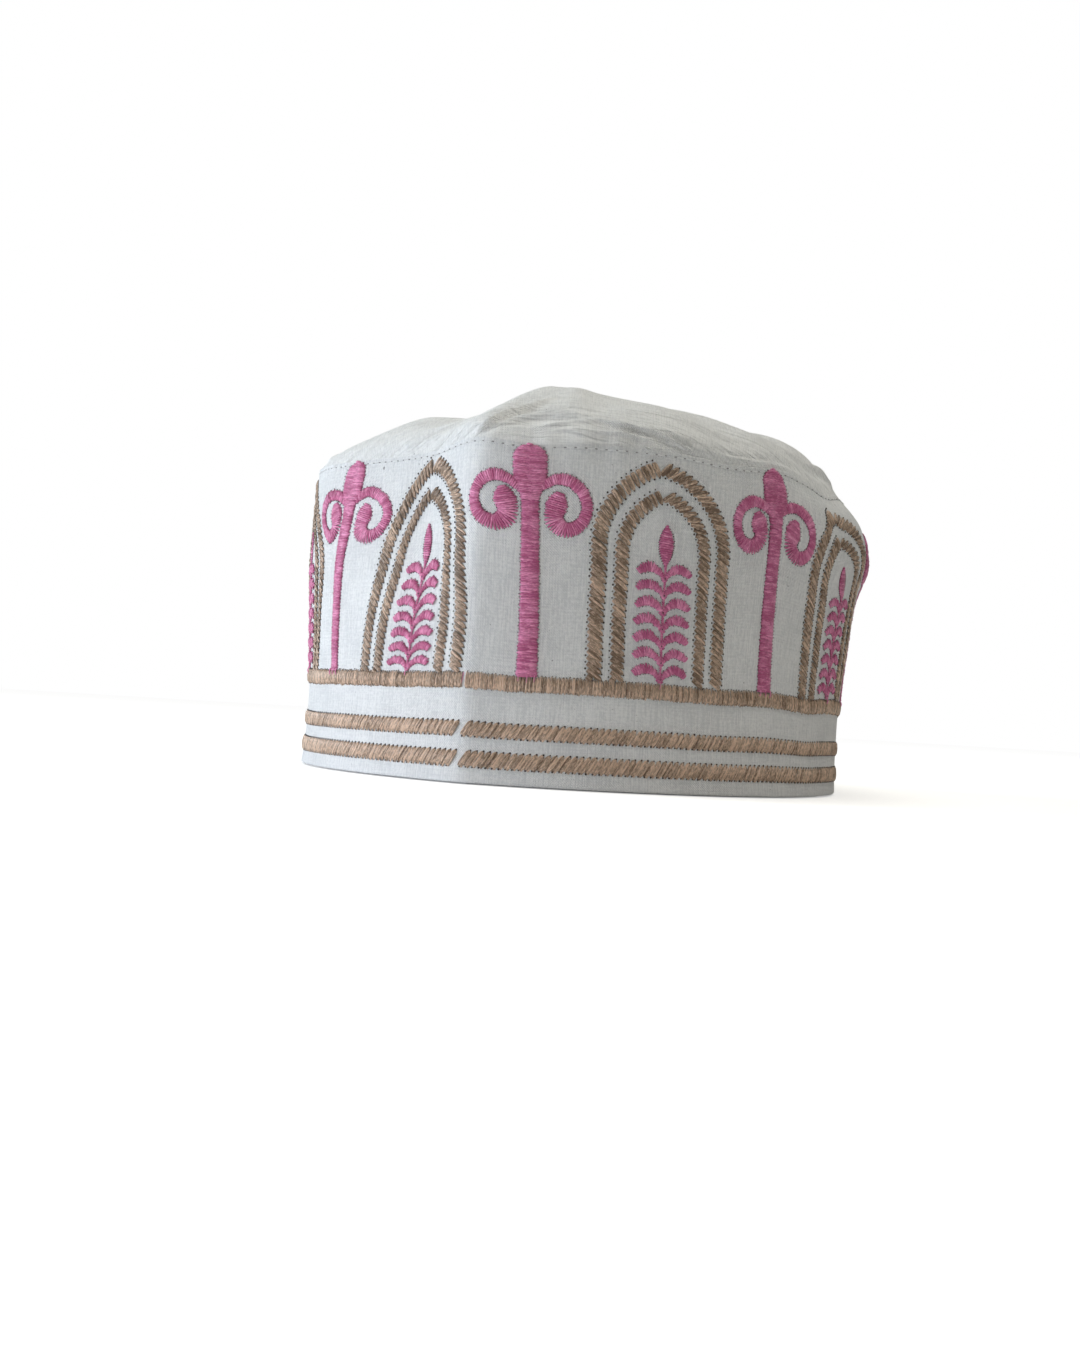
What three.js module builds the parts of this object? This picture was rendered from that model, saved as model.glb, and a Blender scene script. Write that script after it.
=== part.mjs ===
// An embroidered kufi: a stiff oval band, its lining and a soft domed crown, all of cloth.
// Millimetres, +Z up. The wearer's back faces -Y and the wearer's right is +X.
// Angles run round the oval in degrees, from 0 at the back towards +X.
// A height on the band is counted from the hem of its outer cloth.

import * as THREE from 'three';
import { mergeVertices } from 'three/addons/utils/BufferGeometryUtils.js';

// Driving sizes
const HALF_WIDTH = 83.4;
const HALF_LENGTH = 98.3;
const BAND_HEIGHT = 89;
const OUTER_CLOTH = 1.3;
const LINING_CLOTH = 1.2;
const CROWN_CLOTH = 1.2;
const CLEARANCE = 0.3;
const HEM_REVEAL = 0.7;
const THREAD_LIFT = 0.7;
const THREAD_HEIGHT = 0.5;

// The band's facets: one vertex lies on the sharp crease beside the back.
const CREASE_AT = -16;
const FACETS_ROUND = 56;
const FACET_ROWS = [0, 30, 55, 73, 81, BAND_HEIGHT];

// Each fold pushes the wall out or in. One row for each fold: its angle, how far it spreads in
// degrees, whether its line is sharp, and its depth at each of the fold levels.
const FOLD_LEVELS = [0, 20, 45, 60, 73, 81, 89];
const FOLDS = [
  { name: 'back crease', at: CREASE_AT, spread: 19, sharp: true, depth: [4.5, 5, 5.5, 6, 6, 6, 6] },
  { name: 'flat right of it', at: 20, spread: 24, depth: [-1.5, -1.5, -1.5, -1.5, -1.5, -1.5, -1.5] },
  { name: 'left belly', at: -84, spread: 40, depth: [0, -0.3, 0.6, 1, 0.7, 0.4, 0] },
  { name: 'right buckle', at: 84, spread: 36, depth: [0, 1.2, 3, 4.4, 7, 4, -3.2] },
  { name: 'right corner', at: 57, spread: 16, depth: [0, 0, 0.5, 2, 3, 3, 1.5] },
];

// The wall's top edge rises and dips. One row for each wave: its angle, spread and height.
const TOP_WAVES = [
  { name: 'peak on the crease', at: CREASE_AT, spread: 9, height: 1.6 },
  { name: 'dip left of it', at: -42, spread: 24, height: -3 },
  { name: 'dip on the right', at: 52, spread: 22, height: -1.6 },
  { name: 'right end', at: 92, spread: 18, height: -2.6 },
];

// The crown's rise over its seam, from the middle (0) to the edge (1), by side.
const RISE_AT = [0, 0.2, 0.4, 0.5, 0.6, 0.7, 0.8, 0.88, 0.94, 0.975, 1];
const RISE_BACK = [22.5, 22.2, 21, 20, 18.3, 16.2, 13.2, 10.4, 7.4, 4.6, 0];
const RISE_LEFT = [22.5, 22.2, 21, 19.6, 17.4, 14, 9.8, 6, 3, 1.2, 0];
const RISE_RIGHT = [22.5, 22.4, 22.2, 21.6, 20.6, 18.6, 15, 10.4, 5.6, 2.4, 0];
const SIDE_SPREAD = 46;
const CROWN_RINGS = [1, 0.97, 0.9, 0.78, 0.6, 0.32];

// A ridge crosses the crown from the crease to the front, steep on its left side.
// One column for each place along it, counted from the middle towards the back.
const RIDGE_PLACES = [-97, -40, 0, 45, 80, 97];
const RIDGE_HEIGHTS = [0.2, 1.5, 3.4, 5.2, 2.6, 0];
const RIDGE_SWAY = [0, 1, 2.5, 4, 2.5, 0];
const RIDGE_LEFT_REACH = 8;
const RIDGE_RIGHT_REACH = 34;

// Embroidered borders round the band, broken where the strip's two ends meet.
const STRIP_JOIN_AT = -28.3;
const STRIP_JOIN_GAP = 1.4;
const BORDERS = [
  { name: 'border_lower', low: 3.8, high: 7.9 },
  { name: 'border_upper', low: 11.7, high: 15.5 },
  { name: 'border_wide', low: 24, high: 28.2 },
];

// Motifs stand on the wide border: a column, then an arch half a repeat on, eight times.
const REPEATS = 8;
const FIRST_COLUMN_AT = -13.2;
const FOOT = BORDERS[2].high + CLEARANCE;
const GUIDE_HEIGHT = 28;
const ARCHES = [
  { name: 'arch_outer', halfWidth: 17.8, spring: 62, centreOffset: 5, stroke: 3.9 },
  { name: 'arch_inner', halfWidth: 11.8, spring: 61.3, centreOffset: 5, stroke: 3.4 },
];
const ARC_STEPS = 5;

// A column's shaft and head: its width at each height.
const SHAFT_HEIGHTS = [FOOT, 55, 69, 73, 77, 83, 86, 88];
const SHAFT_WIDTHS = [5, 4.9, 4.8, 6, 8.2, 9.4, 7.2, 2.4];
const VOLUTE = { outAt: 10.6, height: 73.4, reach: 4.4, rise: 6.2, stroke: 3.3 };
const VOLUTE_EYE = { width: 4.4, tightening: 0.45 };
const VOLUTE_START = { outAt: 5.9, height: 77.6 };
const VOLUTE_TURN = { from: 0.62 * Math.PI, to: -1.02 * Math.PI, steps: 8 };

const FROND = { pairs: 7, firstPair: 30.6, pitch: 4.4, reach: 7.8, leaf: 1.9, droop: 0.9, stem: 0.6 };
const BUD = { low: 60, high: 71, halfWidth: 2.1 };

// The embroidered strip leans where the cloth was pulled: sideways shifts at the fold levels.
const LEANS = [
  { name: 'left of the crease', at: -70, spread: 32, shift: [0, 0, 1.4, 3.4, 6.4, 8.6, 10] },
  { name: 'right of the crease', at: 8, spread: 30, shift: [1.7, 1.5, 0.8, 0.2, -0.6, -1.1, -1.5] },
];

const WHITE_COTTON = { color: 0xe9e9ea, roughness: 0.92, metalness: 0 };
const LINING_COTTON = { color: 0xe2e3e6, roughness: 0.95, metalness: 0 };
const TAN_THREAD = { color: 0xb2977b, roughness: 0.6, metalness: 0 };
const PINK_THREAD = { color: 0xc76395, roughness: 0.55, metalness: 0 };

const radians = THREE.MathUtils.degToRad;

// Slope of a table at one of its places, from its two neighbours.
function tableSlope(places, values, k) {
  const last = places.length - 1;
  if (k === 0) return (values[1] - values[0]) / (places[1] - places[0]);
  if (k === last) return (values[last] - values[last - 1]) / (places[last] - places[last - 1]);
  const before = places[k] - places[k - 1];
  const after = places[k + 1] - places[k];
  const rising = before * before * values[k + 1];
  const level = (after * after - before * before) * values[k];
  const falling = after * after * values[k - 1];
  return (rising + level - falling) / (before * after * (before + after));
}

// A smooth curve through a table, level beyond its ends.
function smoothTable(place, places, values) {
  const x = THREE.MathUtils.clamp(place, places[0], places[places.length - 1]);
  let k = 0;
  while (k < places.length - 2 && x >= places[k + 1]) k += 1;
  const step = places[k + 1] - places[k];
  const t = (x - places[k]) / step;
  const startSlope = tableSlope(places, values, k) * step;
  const endSlope = tableSlope(places, values, k + 1) * step;
  return (2 * t ** 3 - 3 * t ** 2 + 1) * values[k] + (t ** 3 - 2 * t ** 2 + t) * startSlope
    + (3 * t ** 2 - 2 * t ** 3) * values[k + 1] + (t ** 3 - t ** 2) * endSlope;
}

function turnBetween(angle, centre) {
  return THREE.MathUtils.euclideanModulo(angle - centre + 180, 360) - 180;
}

function bell(distance) {
  return Math.exp(-distance * distance);
}

// A fold's cross-section: a soft bell, or a line with two straight flanks.
function foldShape(angle, fold) {
  const distance = turnBetween(angle, fold.at) / fold.spread;
  if (!fold.sharp) return bell(distance);
  const softness = 0.063;
  const flank = 1.6;
  return Math.exp(-flank * (Math.hypot(distance, softness) - softness));
}

function ovalRadius(angle) {
  const t = radians(angle);
  return 1 / Math.hypot(Math.sin(t) / HALF_WIDTH, Math.cos(t) / HALF_LENGTH);
}

function wallRadius(angle, height) {
  let radius = ovalRadius(angle);
  for (const fold of FOLDS) {
    radius += foldShape(angle, fold) * smoothTable(height, FOLD_LEVELS, fold.depth);
  }
  return radius;
}

function wallTop(angle) {
  let top = BAND_HEIGHT;
  for (const wave of TOP_WAVES) {
    top += wave.height * bell(turnBetween(angle, wave.at) / wave.spread);
  }
  return top;
}

// The outer face of the band. Heights stretch a little where the top edge rises or dips.
function wallPoint(angle, height) {
  const radius = wallRadius(angle, height);
  const t = radians(angle);
  const z = HEM_REVEAL + height * wallTop(angle) / BAND_HEIGHT;
  return new THREE.Vector3(radius * Math.sin(t), -radius * Math.cos(t), z);
}

// The level direction straight out of the wall.
function levelNormal(angle, height) {
  const sideStep = 0.5;
  const along = wallPoint(angle + sideStep, height).sub(wallPoint(angle - sideStep, height));
  return new THREE.Vector3(along.y, -along.x, 0).normalize();
}

function facetAngle(index) {
  return CREASE_AT + index * 360 / FACETS_ROUND;
}

// One ring of points round the band, moved level in or out of its outer face.
function bandRing(height, outward) {
  const ring = [];
  for (let i = 0; i < FACETS_ROUND; i += 1) {
    const angle = facetAngle(i);
    ring.push(wallPoint(angle, height).addScaledVector(levelNormal(angle, height), outward));
  }
  return ring;
}

function signedVolume(points, triangles) {
  let volume = 0;
  for (const [a, b, c] of triangles) {
    volume += points[a].dot(new THREE.Vector3().crossVectors(points[b], points[c])) / 6;
  }
  return volume;
}

// A closed body from points and triangles, with its faces turned outwards.
function closedBody(points, triangles) {
  const outwards = signedVolume(points, triangles) > 0;
  const geometry = new THREE.BufferGeometry().setFromPoints(points);
  geometry.setIndex(triangles.flatMap(([a, b, c]) => (outwards ? [a, b, c] : [a, c, b])));
  geometry.computeVertexNormals();
  return geometry;
}

// Both faces of a wall split their squares along the same diagonal, so they stay parallel.
function ringQuads(triangles, first, second, count, rising = true) {
  for (let i = 0; i < count; i += 1) {
    const next = (i + 1) % count;
    if (rising) {
      triangles.push([first + i, first + next, second + next]);
      triangles.push([first + i, second + next, second + i]);
    } else {
      triangles.push([first + i, first + next, second + i]);
      triangles.push([first + next, second + next, second + i]);
    }
  }
}

// A wall closed round the oval: its rings go up one face and down the other.
function closedWall(rings) {
  const count = rings[0].length;
  const triangles = [];
  rings.forEach((ring, k) => {
    const following = (k + 1) % rings.length;
    const rising = rings[following][0].z > ring[0].z;
    ringQuads(triangles, k * count, following * count, count, rising);
  });
  return closedBody(rings.flat(), triangles);
}

// A dome: rings from the middle of one face, round its edge, to the middle of the other.
function closedDome(firstMiddle, rings, lastMiddle) {
  const count = rings[0].length;
  const points = [...rings.flat(), firstMiddle, lastMiddle];
  const first = points.length - 2;
  const last = points.length - 1;
  const triangles = [];
  for (let k = 0; k < rings.length - 1; k += 1) {
    const rising = rings[k + 1][0].z > rings[k][0].z;
    ringQuads(triangles, k * count, (k + 1) * count, count, rising);
  }
  for (let i = 0; i < count; i += 1) {
    const next = (i + 1) % count;
    const lastRing = (rings.length - 1) * count;
    triangles.push([first, next, i]);
    triangles.push([last, lastRing + i, lastRing + next]);
  }
  return closedBody(points, triangles);
}

// A strip from one four-cornered section to the next, closed at both ends.
function closedStrip(sections) {
  const corners = sections[0].length;
  const triangles = [];
  for (let k = 0; k < sections.length - 1; k += 1) {
    ringQuads(triangles, k * corners, (k + 1) * corners, corners);
  }
  const end = (sections.length - 1) * corners;
  triangles.push([0, 2, 1], [0, 3, 2], [end, end + 1, end + 2], [end, end + 2, end + 3]);
  return closedBody(sections.flat(), triangles);
}

function makeOuterBand() {
  const heights = FACET_ROWS.slice(0, -1);
  const topRing = (outward) => bandRing(BAND_HEIGHT, outward).map(lowerByClearance);
  const outside = heights.map((height) => bandRing(height, 0));
  const inside = heights.map((height) => bandRing(height, -OUTER_CLOTH)).reverse();
  return closedWall([...outside, topRing(0), topRing(-OUTER_CLOTH), ...inside]);
}

// The crown's edge lies on the band's top, so both cloths of the band end just under it.
function lowerByClearance(point) {
  return point.clone().setZ(point.z - CLEARANCE);
}

// The lining's lowest edge peeks out below the outer hem and rests on the ground.
function makeLining() {
  const face = OUTER_CLOTH + CLEARANCE;
  const heights = FACET_ROWS.slice(1, -1);
  const footRing = (outward) => bandRing(0, outward).map((point) => point.clone().setZ(0));
  const topRing = (outward) => bandRing(BAND_HEIGHT, outward).map(lowerByClearance);
  const outside = heights.map((height) => bandRing(height, -face));
  const inside = heights.map((height) => bandRing(height, -face - LINING_CLOTH)).reverse();
  const outerFace = [footRing(-face), ...outside, topRing(-face)];
  const innerFace = [topRing(-face - LINING_CLOTH), ...inside, footRing(-face - LINING_CLOTH)];
  return closedWall([...outerFace, ...innerFace]);
}

// How far the crown stands over its seam, blended from its back, left and right profiles.
function crownRise(angle, reach) {
  const back = smoothTable(reach, RISE_AT, RISE_BACK);
  const left = smoothTable(reach, RISE_AT, RISE_LEFT);
  const right = smoothTable(reach, RISE_AT, RISE_RIGHT);
  const leftShare = bell(turnBetween(angle, -90) / SIDE_SPREAD);
  const rightShare = bell(turnBetween(angle, 90) / SIDE_SPREAD);
  return back + leftShare * (left - back) + rightShare * (right - back);
}

function ridgeHeight(x, y) {
  const t = radians(CREASE_AT);
  const along = x * Math.sin(t) - y * Math.cos(t);
  const across = x * Math.cos(t) + y * Math.sin(t) - smoothTable(along, RIDGE_PLACES, RIDGE_SWAY);
  const reach = across < 0 ? RIDGE_LEFT_REACH : RIDGE_RIGHT_REACH;
  return smoothTable(along, RIDGE_PLACES, RIDGE_HEIGHTS) * bell(across / reach);
}

// The crown's outer face: reach is 0 in its middle and 1 on its seam.
function crownPoint(angle, reach) {
  const edge = wallPoint(angle, BAND_HEIGHT);
  const x = edge.x * reach;
  const y = edge.y * reach;
  const base = edge.z * reach + (BAND_HEIGHT + HEM_REVEAL) * (1 - reach);
  return new THREE.Vector3(x, y, base + crownRise(angle, reach) + ridgeHeight(x, y));
}

function crownNormal(angle, reach) {
  const sideStep = 0.5;
  const reachStep = 0.01;
  const along = crownPoint(angle + sideStep, reach).sub(crownPoint(angle - sideStep, reach));
  const inward = crownPoint(angle, reach - reachStep).sub(crownPoint(angle, reach));
  return along.cross(inward).normalize();
}

function crownRing(reach, inset) {
  const ring = [];
  for (let i = 0; i < FACETS_ROUND; i += 1) {
    const angle = facetAngle(i);
    const normal = reach === 1 ? levelNormal(angle, BAND_HEIGHT) : crownNormal(angle, reach);
    ring.push(crownPoint(angle, reach).addScaledVector(normal, -inset));
  }
  return ring;
}

function makeCrown() {
  const outside = CROWN_RINGS.map((reach) => crownRing(reach, 0));
  const inside = CROWN_RINGS.map((reach) => crownRing(reach, CROWN_CLOTH)).reverse();
  const middle = crownPoint(0, 0);
  const middleBelow = lowerByCloth(middle);
  return closedDome(middleBelow, [...inside, ...outside], middle);
}

function lowerByCloth(point) {
  return point.clone().setZ(point.z - CROWN_CLOTH);
}

// Lengths along the band at the guide height turn into angles through this table.
const GUIDE = makeGuide();

function makeGuide() {
  const angles = [];
  const lengths = [];
  let length = 0;
  let previous = null;
  for (let angle = -180; angle <= 180; angle += 1) {
    const point = wallPoint(angle, GUIDE_HEIGHT).setZ(0);
    if (previous) length += point.distanceTo(previous);
    previous = point;
    angles.push(angle);
    lengths.push(length);
  }
  const back = lengths[180];
  return { angles, lengths: lengths.map((value) => value - back), girth: length };
}

// Angle of a length along the band, counted from the back. It may run past the front.
function angleAt(along) {
  const first = GUIDE.lengths[0];
  const turns = Math.floor((along - first) / GUIDE.girth);
  const inside = along - turns * GUIDE.girth;
  let k = 0;
  while (k < GUIDE.lengths.length - 2 && inside >= GUIDE.lengths[k + 1]) k += 1;
  const share = (inside - GUIDE.lengths[k]) / (GUIDE.lengths[k + 1] - GUIDE.lengths[k]);
  return GUIDE.angles[k] + share + turns * 360;
}

function leanShift(along, height) {
  let shift = 0;
  for (const lean of LEANS) {
    shift += bell((along - lean.at) / lean.spread) * smoothTable(height, FOLD_LEVELS, lean.shift);
  }
  return shift;
}

// A point over the band's flat facets, so that what lies there keeps its distance to them.
function facetPoint(angle, height, outward) {
  const position = (angle - CREASE_AT) * FACETS_ROUND / 360;
  const before = facetAngle(Math.floor(position));
  const after = facetAngle(Math.floor(position) + 1);
  const share = position - Math.floor(position);
  let row = 0;
  while (row < FACET_ROWS.length - 2 && height >= FACET_ROWS[row + 1]) row += 1;
  const low = FACET_ROWS[row];
  const high = FACET_ROWS[row + 1];
  const rise = (height - low) / (high - low);
  const corner = (at, level) => {
    return wallPoint(at, level).addScaledVector(levelNormal(at, level), outward);
  };
  const left = corner(before, low).lerp(corner(before, high), rise);
  const right = corner(after, low).lerp(corner(after, high), rise);
  return left.lerp(right, share);
}

// One section of a border: its lower and upper corners, near the cloth and away from it.
function borderSection(angle, border) {
  const top = THREAD_LIFT + THREAD_HEIGHT;
  return [facetPoint(angle, border.low, THREAD_LIFT), facetPoint(angle, border.low, top),
    facetPoint(angle, border.high, top), facetPoint(angle, border.high, THREAD_LIFT)];
}

function makeBorder(border) {
  const start = angleAt(STRIP_JOIN_AT + STRIP_JOIN_GAP / 2);
  const end = angleAt(STRIP_JOIN_AT - STRIP_JOIN_GAP / 2) + 360;
  const step = 360 / FACETS_ROUND;
  const nearby = step / 10;
  const angles = [start];
  for (let i = 0; i <= FACETS_ROUND; i += 1) {
    const angle = facetAngle(i);
    if (angle > start + nearby && angle < end - nearby) angles.push(angle);
  }
  angles.push(end);
  return closedStrip(angles.map((angle) => borderSection(angle, border)));
}

// Lays a flat point of a motif, a length along the band and a height, over the band.
function threadPoint(along, height, outward) {
  return facetPoint(angleAt(along + leanShift(along, height)), height, outward);
}

// Extra points where a path crosses a row of the band's facets, so that it bends with them.
// A path's points are [along, height, width].
function withRowPoints(path) {
  const bent = [path[0]];
  for (let k = 1; k < path.length; k += 1) {
    const start = path[k - 1];
    const end = path[k];
    const rise = end[1] - start[1];
    const crossed = FACET_ROWS.filter((row) => (row - start[1]) * (row - end[1]) < 0);
    crossed.sort((a, b) => (a - b) * Math.sign(rise));
    for (const row of crossed) {
      const share = (row - start[1]) / rise;
      bent.push(start.map((value, axis) => THREE.MathUtils.lerp(value, end[axis], share)));
    }
    bent.push(end);
  }
  return bent;
}

// A raised stroke of thread along a path, laid over the band.
function stitchedStroke(path, centre) {
  const bent = withRowPoints(path);
  const sections = bent.map(([x, y, width], k) => {
    const before = bent[Math.max(k - 1, 0)];
    const after = bent[Math.min(k + 1, bent.length - 1)];
    const length = Math.hypot(after[0] - before[0], after[1] - before[1]);
    const sideX = -(after[1] - before[1]) / length * width / 2;
    const sideY = (after[0] - before[0]) / length * width / 2;
    const top = THREAD_LIFT + THREAD_HEIGHT;
    return [threadPoint(centre + x + sideX, y + sideY, THREAD_LIFT),
      threadPoint(centre + x + sideX, y + sideY, top),
      threadPoint(centre + x - sideX, y - sideY, top),
      threadPoint(centre + x - sideX, y - sideY, THREAD_LIFT)];
  });
  return closedStrip(sections);
}

// A pointed arch: two legs and two arcs whose centres lie past the middle.
function makeArch(arch, centre) {
  const radius = arch.halfWidth + arch.centreOffset;
  const apexTurn = Math.acos(arch.centreOffset / radius);
  const right = [[arch.halfWidth, FOOT, arch.stroke]];
  for (let k = 0; k <= ARC_STEPS; k += 1) {
    const turn = apexTurn * k / ARC_STEPS;
    const x = radius * Math.cos(turn) - arch.centreOffset;
    right.push([x, arch.spring + radius * Math.sin(turn), arch.stroke]);
  }
  const left = right.slice(0, -1).reverse().map(([x, y, width]) => [-x, y, width]);
  return stitchedStroke([...right, ...left], centre);
}

function makeShaft(centre) {
  return stitchedStroke(SHAFT_HEIGHTS.map((height, k) => [0, height, SHAFT_WIDTHS[k]]), centre);
}

// A volute: from beside the column's head up, out, round and back in to its thicker eye.
function makeVolute(side, centre) {
  const { from, to, steps } = VOLUTE_TURN;
  const path = [[side * VOLUTE_START.outAt, VOLUTE_START.height, VOLUTE.stroke]];
  for (let k = 0; k <= steps; k += 1) {
    const share = k / steps;
    const turn = from + (to - from) * share;
    const tighter = 1 - VOLUTE_EYE.tightening * Math.max(0, share - 0.5);
    const x = VOLUTE.outAt + VOLUTE.reach * tighter * Math.cos(turn);
    const y = VOLUTE.height + VOLUTE.rise * tighter * Math.sin(turn);
    path.push([side * x, y, THREE.MathUtils.lerp(VOLUTE.stroke, VOLUTE_EYE.width, share ** 3)]);
  }
  return stitchedStroke(path, centre);
}

// A frond drawn in one line: up its right leaves, round the bud and down its left leaves.
function frondOutline() {
  const { pairs, firstPair, pitch, reach, leaf, droop, stem } = FROND;
  const right = [[stem, FOOT]];
  for (let k = 0; k < pairs; k += 1) {
    const height = firstPair + k * pitch;
    right.push([stem, height - leaf], [reach, height - droop], [reach / 2, height + leaf / 2]);
    right.push([stem, height + leaf / 4]);
  }
  right.push([stem, BUD.low], [BUD.halfWidth, (BUD.low + BUD.high) / 2]);
  const left = [...right].reverse().map(([x, y]) => [-x, y]);
  return [...right, [0, BUD.high], ...left];
}

function makeFrond(centre) {
  const outline = frondOutline().map(([along, height]) => new THREE.Vector2(along, height));
  const flat = { depth: THREAD_HEIGHT, bevelEnabled: false };
  const drawn = new THREE.ExtrudeGeometry(new THREE.Shape(outline), flat);
  drawn.deleteAttribute('normal');
  drawn.deleteAttribute('uv');
  const frond = mergeVertices(drawn, 1e-3);
  const position = frond.attributes.position;
  for (let i = 0; i < position.count; i += 1) {
    const outward = THREAD_LIFT + position.getZ(i);
    const point = threadPoint(centre + position.getX(i), position.getY(i), outward);
    position.setXYZ(i, point.x, point.y, point.z);
  }
  frond.computeVertexNormals();
  return frond;
}

const kufi = new THREE.Group();

function addPiece(name, geometry, look) {
  const piece = new THREE.Mesh(geometry, new THREE.MeshStandardMaterial(look));
  piece.name = name;
  kufi.add(piece);
}

addPiece('outer_band', makeOuterBand(), WHITE_COTTON);
addPiece('lining', makeLining(), LINING_COTTON);
addPiece('crown', makeCrown(), WHITE_COTTON);
for (const border of BORDERS) {
  addPiece(border.name, makeBorder(border), TAN_THREAD);
}
const repeat = GUIDE.girth / REPEATS;
for (let k = 0; k < REPEATS; k += 1) {
  const columnAt = FIRST_COLUMN_AT + (k - REPEATS / 2) * repeat;
  const archAt = columnAt + repeat / 2;
  for (const arch of ARCHES) {
    addPiece(`${arch.name}_${k + 1}`, makeArch(arch, archAt), TAN_THREAD);
  }
  addPiece(`shaft_${k + 1}`, makeShaft(columnAt), PINK_THREAD);
  addPiece(`volute_left_${k + 1}`, makeVolute(-1, columnAt), PINK_THREAD);
  addPiece(`volute_right_${k + 1}`, makeVolute(1, columnAt), PINK_THREAD);
  addPiece(`frond_${k + 1}`, makeFrond(archAt), PINK_THREAD);
}

// The origin lies in the middle of the whole cap, level with the ground.
const extent = new THREE.Box3().setFromObject(kufi);
const middle = extent.getCenter(new THREE.Vector3());
kufi.position.set(-middle.x, -middle.y, -extent.min.z);

export default kufi;
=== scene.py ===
"""An embroidered kufi: its cloths and its stitches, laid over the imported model."""
import math

import bmesh
import bpy
import numpy as np
from mathutils import Matrix, Vector


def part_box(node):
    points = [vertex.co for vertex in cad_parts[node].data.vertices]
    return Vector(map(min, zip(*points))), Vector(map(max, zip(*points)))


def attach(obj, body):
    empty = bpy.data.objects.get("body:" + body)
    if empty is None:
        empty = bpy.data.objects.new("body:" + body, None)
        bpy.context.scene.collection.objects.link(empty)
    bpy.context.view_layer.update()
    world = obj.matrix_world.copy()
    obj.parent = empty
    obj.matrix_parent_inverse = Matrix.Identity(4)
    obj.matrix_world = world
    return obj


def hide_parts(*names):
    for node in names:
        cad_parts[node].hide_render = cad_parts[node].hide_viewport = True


bl_info = {
    "name": "Embroidered kufi",
    "version": (1, 0, 0),
    "blender": (4, 5, 0),
    "location": "View3D > Sidebar > Kufi",
    "description": "Makes the cloths, stitches and stage of an embroidered kufi",
    "category": "Add Mesh",
}

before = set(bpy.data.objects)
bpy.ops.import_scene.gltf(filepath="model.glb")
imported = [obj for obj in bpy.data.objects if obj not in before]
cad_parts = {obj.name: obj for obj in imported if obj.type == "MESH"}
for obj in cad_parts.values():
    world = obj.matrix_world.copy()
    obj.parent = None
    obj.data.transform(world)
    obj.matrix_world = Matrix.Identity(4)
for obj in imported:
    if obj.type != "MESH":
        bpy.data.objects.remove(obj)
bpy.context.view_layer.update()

MM = 0.001

# The oval and its folds, in millimetres and degrees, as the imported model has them. Angles run
# from 0 at the back towards +X, and heights on the band count from the hem of its outer cloth.
HALF_WIDTH = 83.4
HALF_LENGTH = 98.3
BAND_HEIGHT = 89.0
HEM_REVEAL = 0.7
CREASE_AT = -16
FACETS_ROUND = 56
FACET_ROWS = (0, 30, 55, 73, 81, 89)
FOLD_LEVELS = (0, 20, 45, 60, 73, 81, 89)
FOLDS = (
    {"at": CREASE_AT, "spread": 19, "sharp": True, "depth": (4.5, 5, 5.5, 6, 6, 6, 6)},
    {"at": 20, "spread": 24, "sharp": False, "depth": (-1.5,) * 7},
    {"at": -84, "spread": 40, "sharp": False, "depth": (0, -0.3, 0.6, 1, 0.7, 0.4, 0)},
    {"at": 84, "spread": 36, "sharp": False, "depth": (0, 1.2, 3, 4.4, 7, 4, -3.2)},
    {"at": 57, "spread": 16, "sharp": False, "depth": (0, 0, 0.5, 2, 3, 3, 1.5)},
)
SHARP_SOFTNESS = 0.063
SHARP_FLANK = 1.6

# Small dents and swells of the soft cloth itself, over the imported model's folds.
DENTS = (
    {"at": 16, "spread": 48, "sharp": False, "depth": (0, -2.8, -3, -1.8, -0.6, 0, 0)},
    {"at": -26, "spread": 8, "sharp": False, "depth": (0, 0, -1.2, -3, -4, -4, -4)},
    {"at": -37, "spread": 13, "sharp": False, "depth": (0, -0.3, -1.2, -3, -4.6, -5, -5.5)},
    {"at": -60, "spread": 10, "sharp": False, "depth": (0, 0.3, 0.6, 0.6, 1, 1.2, 1.2)},
    {"at": -84, "spread": 30, "sharp": False, "depth": (0, -0.6, -0.5, 0, 0, 0, 0)},
    {"at": 84, "spread": 36, "sharp": False, "depth": (0, -0.7, -0.5, -0.9, -0.9, -0.7, -0.3)},
)

# The seam's rises and dips: degrees round, spread and height.
TOP_WAVES = ((CREASE_AT, 9, 1.6), (-42, 24, -3), (52, 22, -1.6), (92, 18, -2.6), (-80, 12, 1.2),
             (-42, 16, 1.5), (-9, 5, -1.2), (24, 6, -0.8), (36, 5, 1.1), (51, 5, -1.7))

# The crown's rise over its seam, from the middle (0) to the edge (1), by side.
RISE_AT = (0, 0.2, 0.4, 0.5, 0.6, 0.7, 0.8, 0.88, 0.94, 0.975, 1)
RISE_BACK = (22.5, 22.2, 21, 20, 18.3, 16.2, 13.2, 10.4, 7.4, 4.6, 0)
RISE_LEFT = (22.5, 22.2, 21, 19.8, 17.8, 14.8, 10.8, 7.0, 3.8, 1.8, 0)
RISE_RIGHT = (22.5, 22.4, 22.2, 21.8, 21.0, 19.2, 15.6, 10.8, 5.4, 2.0, 0)
SIDE_SPREAD = 46
RIDGE_PLACES = (-97, -40, 0, 45, 80, 97)
RIDGE_HEIGHTS = (0.2, 1.5, 3.4, 5.0, 2.4, 0)
RIDGE_SWAY = (0, 1, 2.5, 4, 2.5, 0)
RIDGE_LEFT_REACH = 6
RIDGE_RIGHT_REACH = 34

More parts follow.
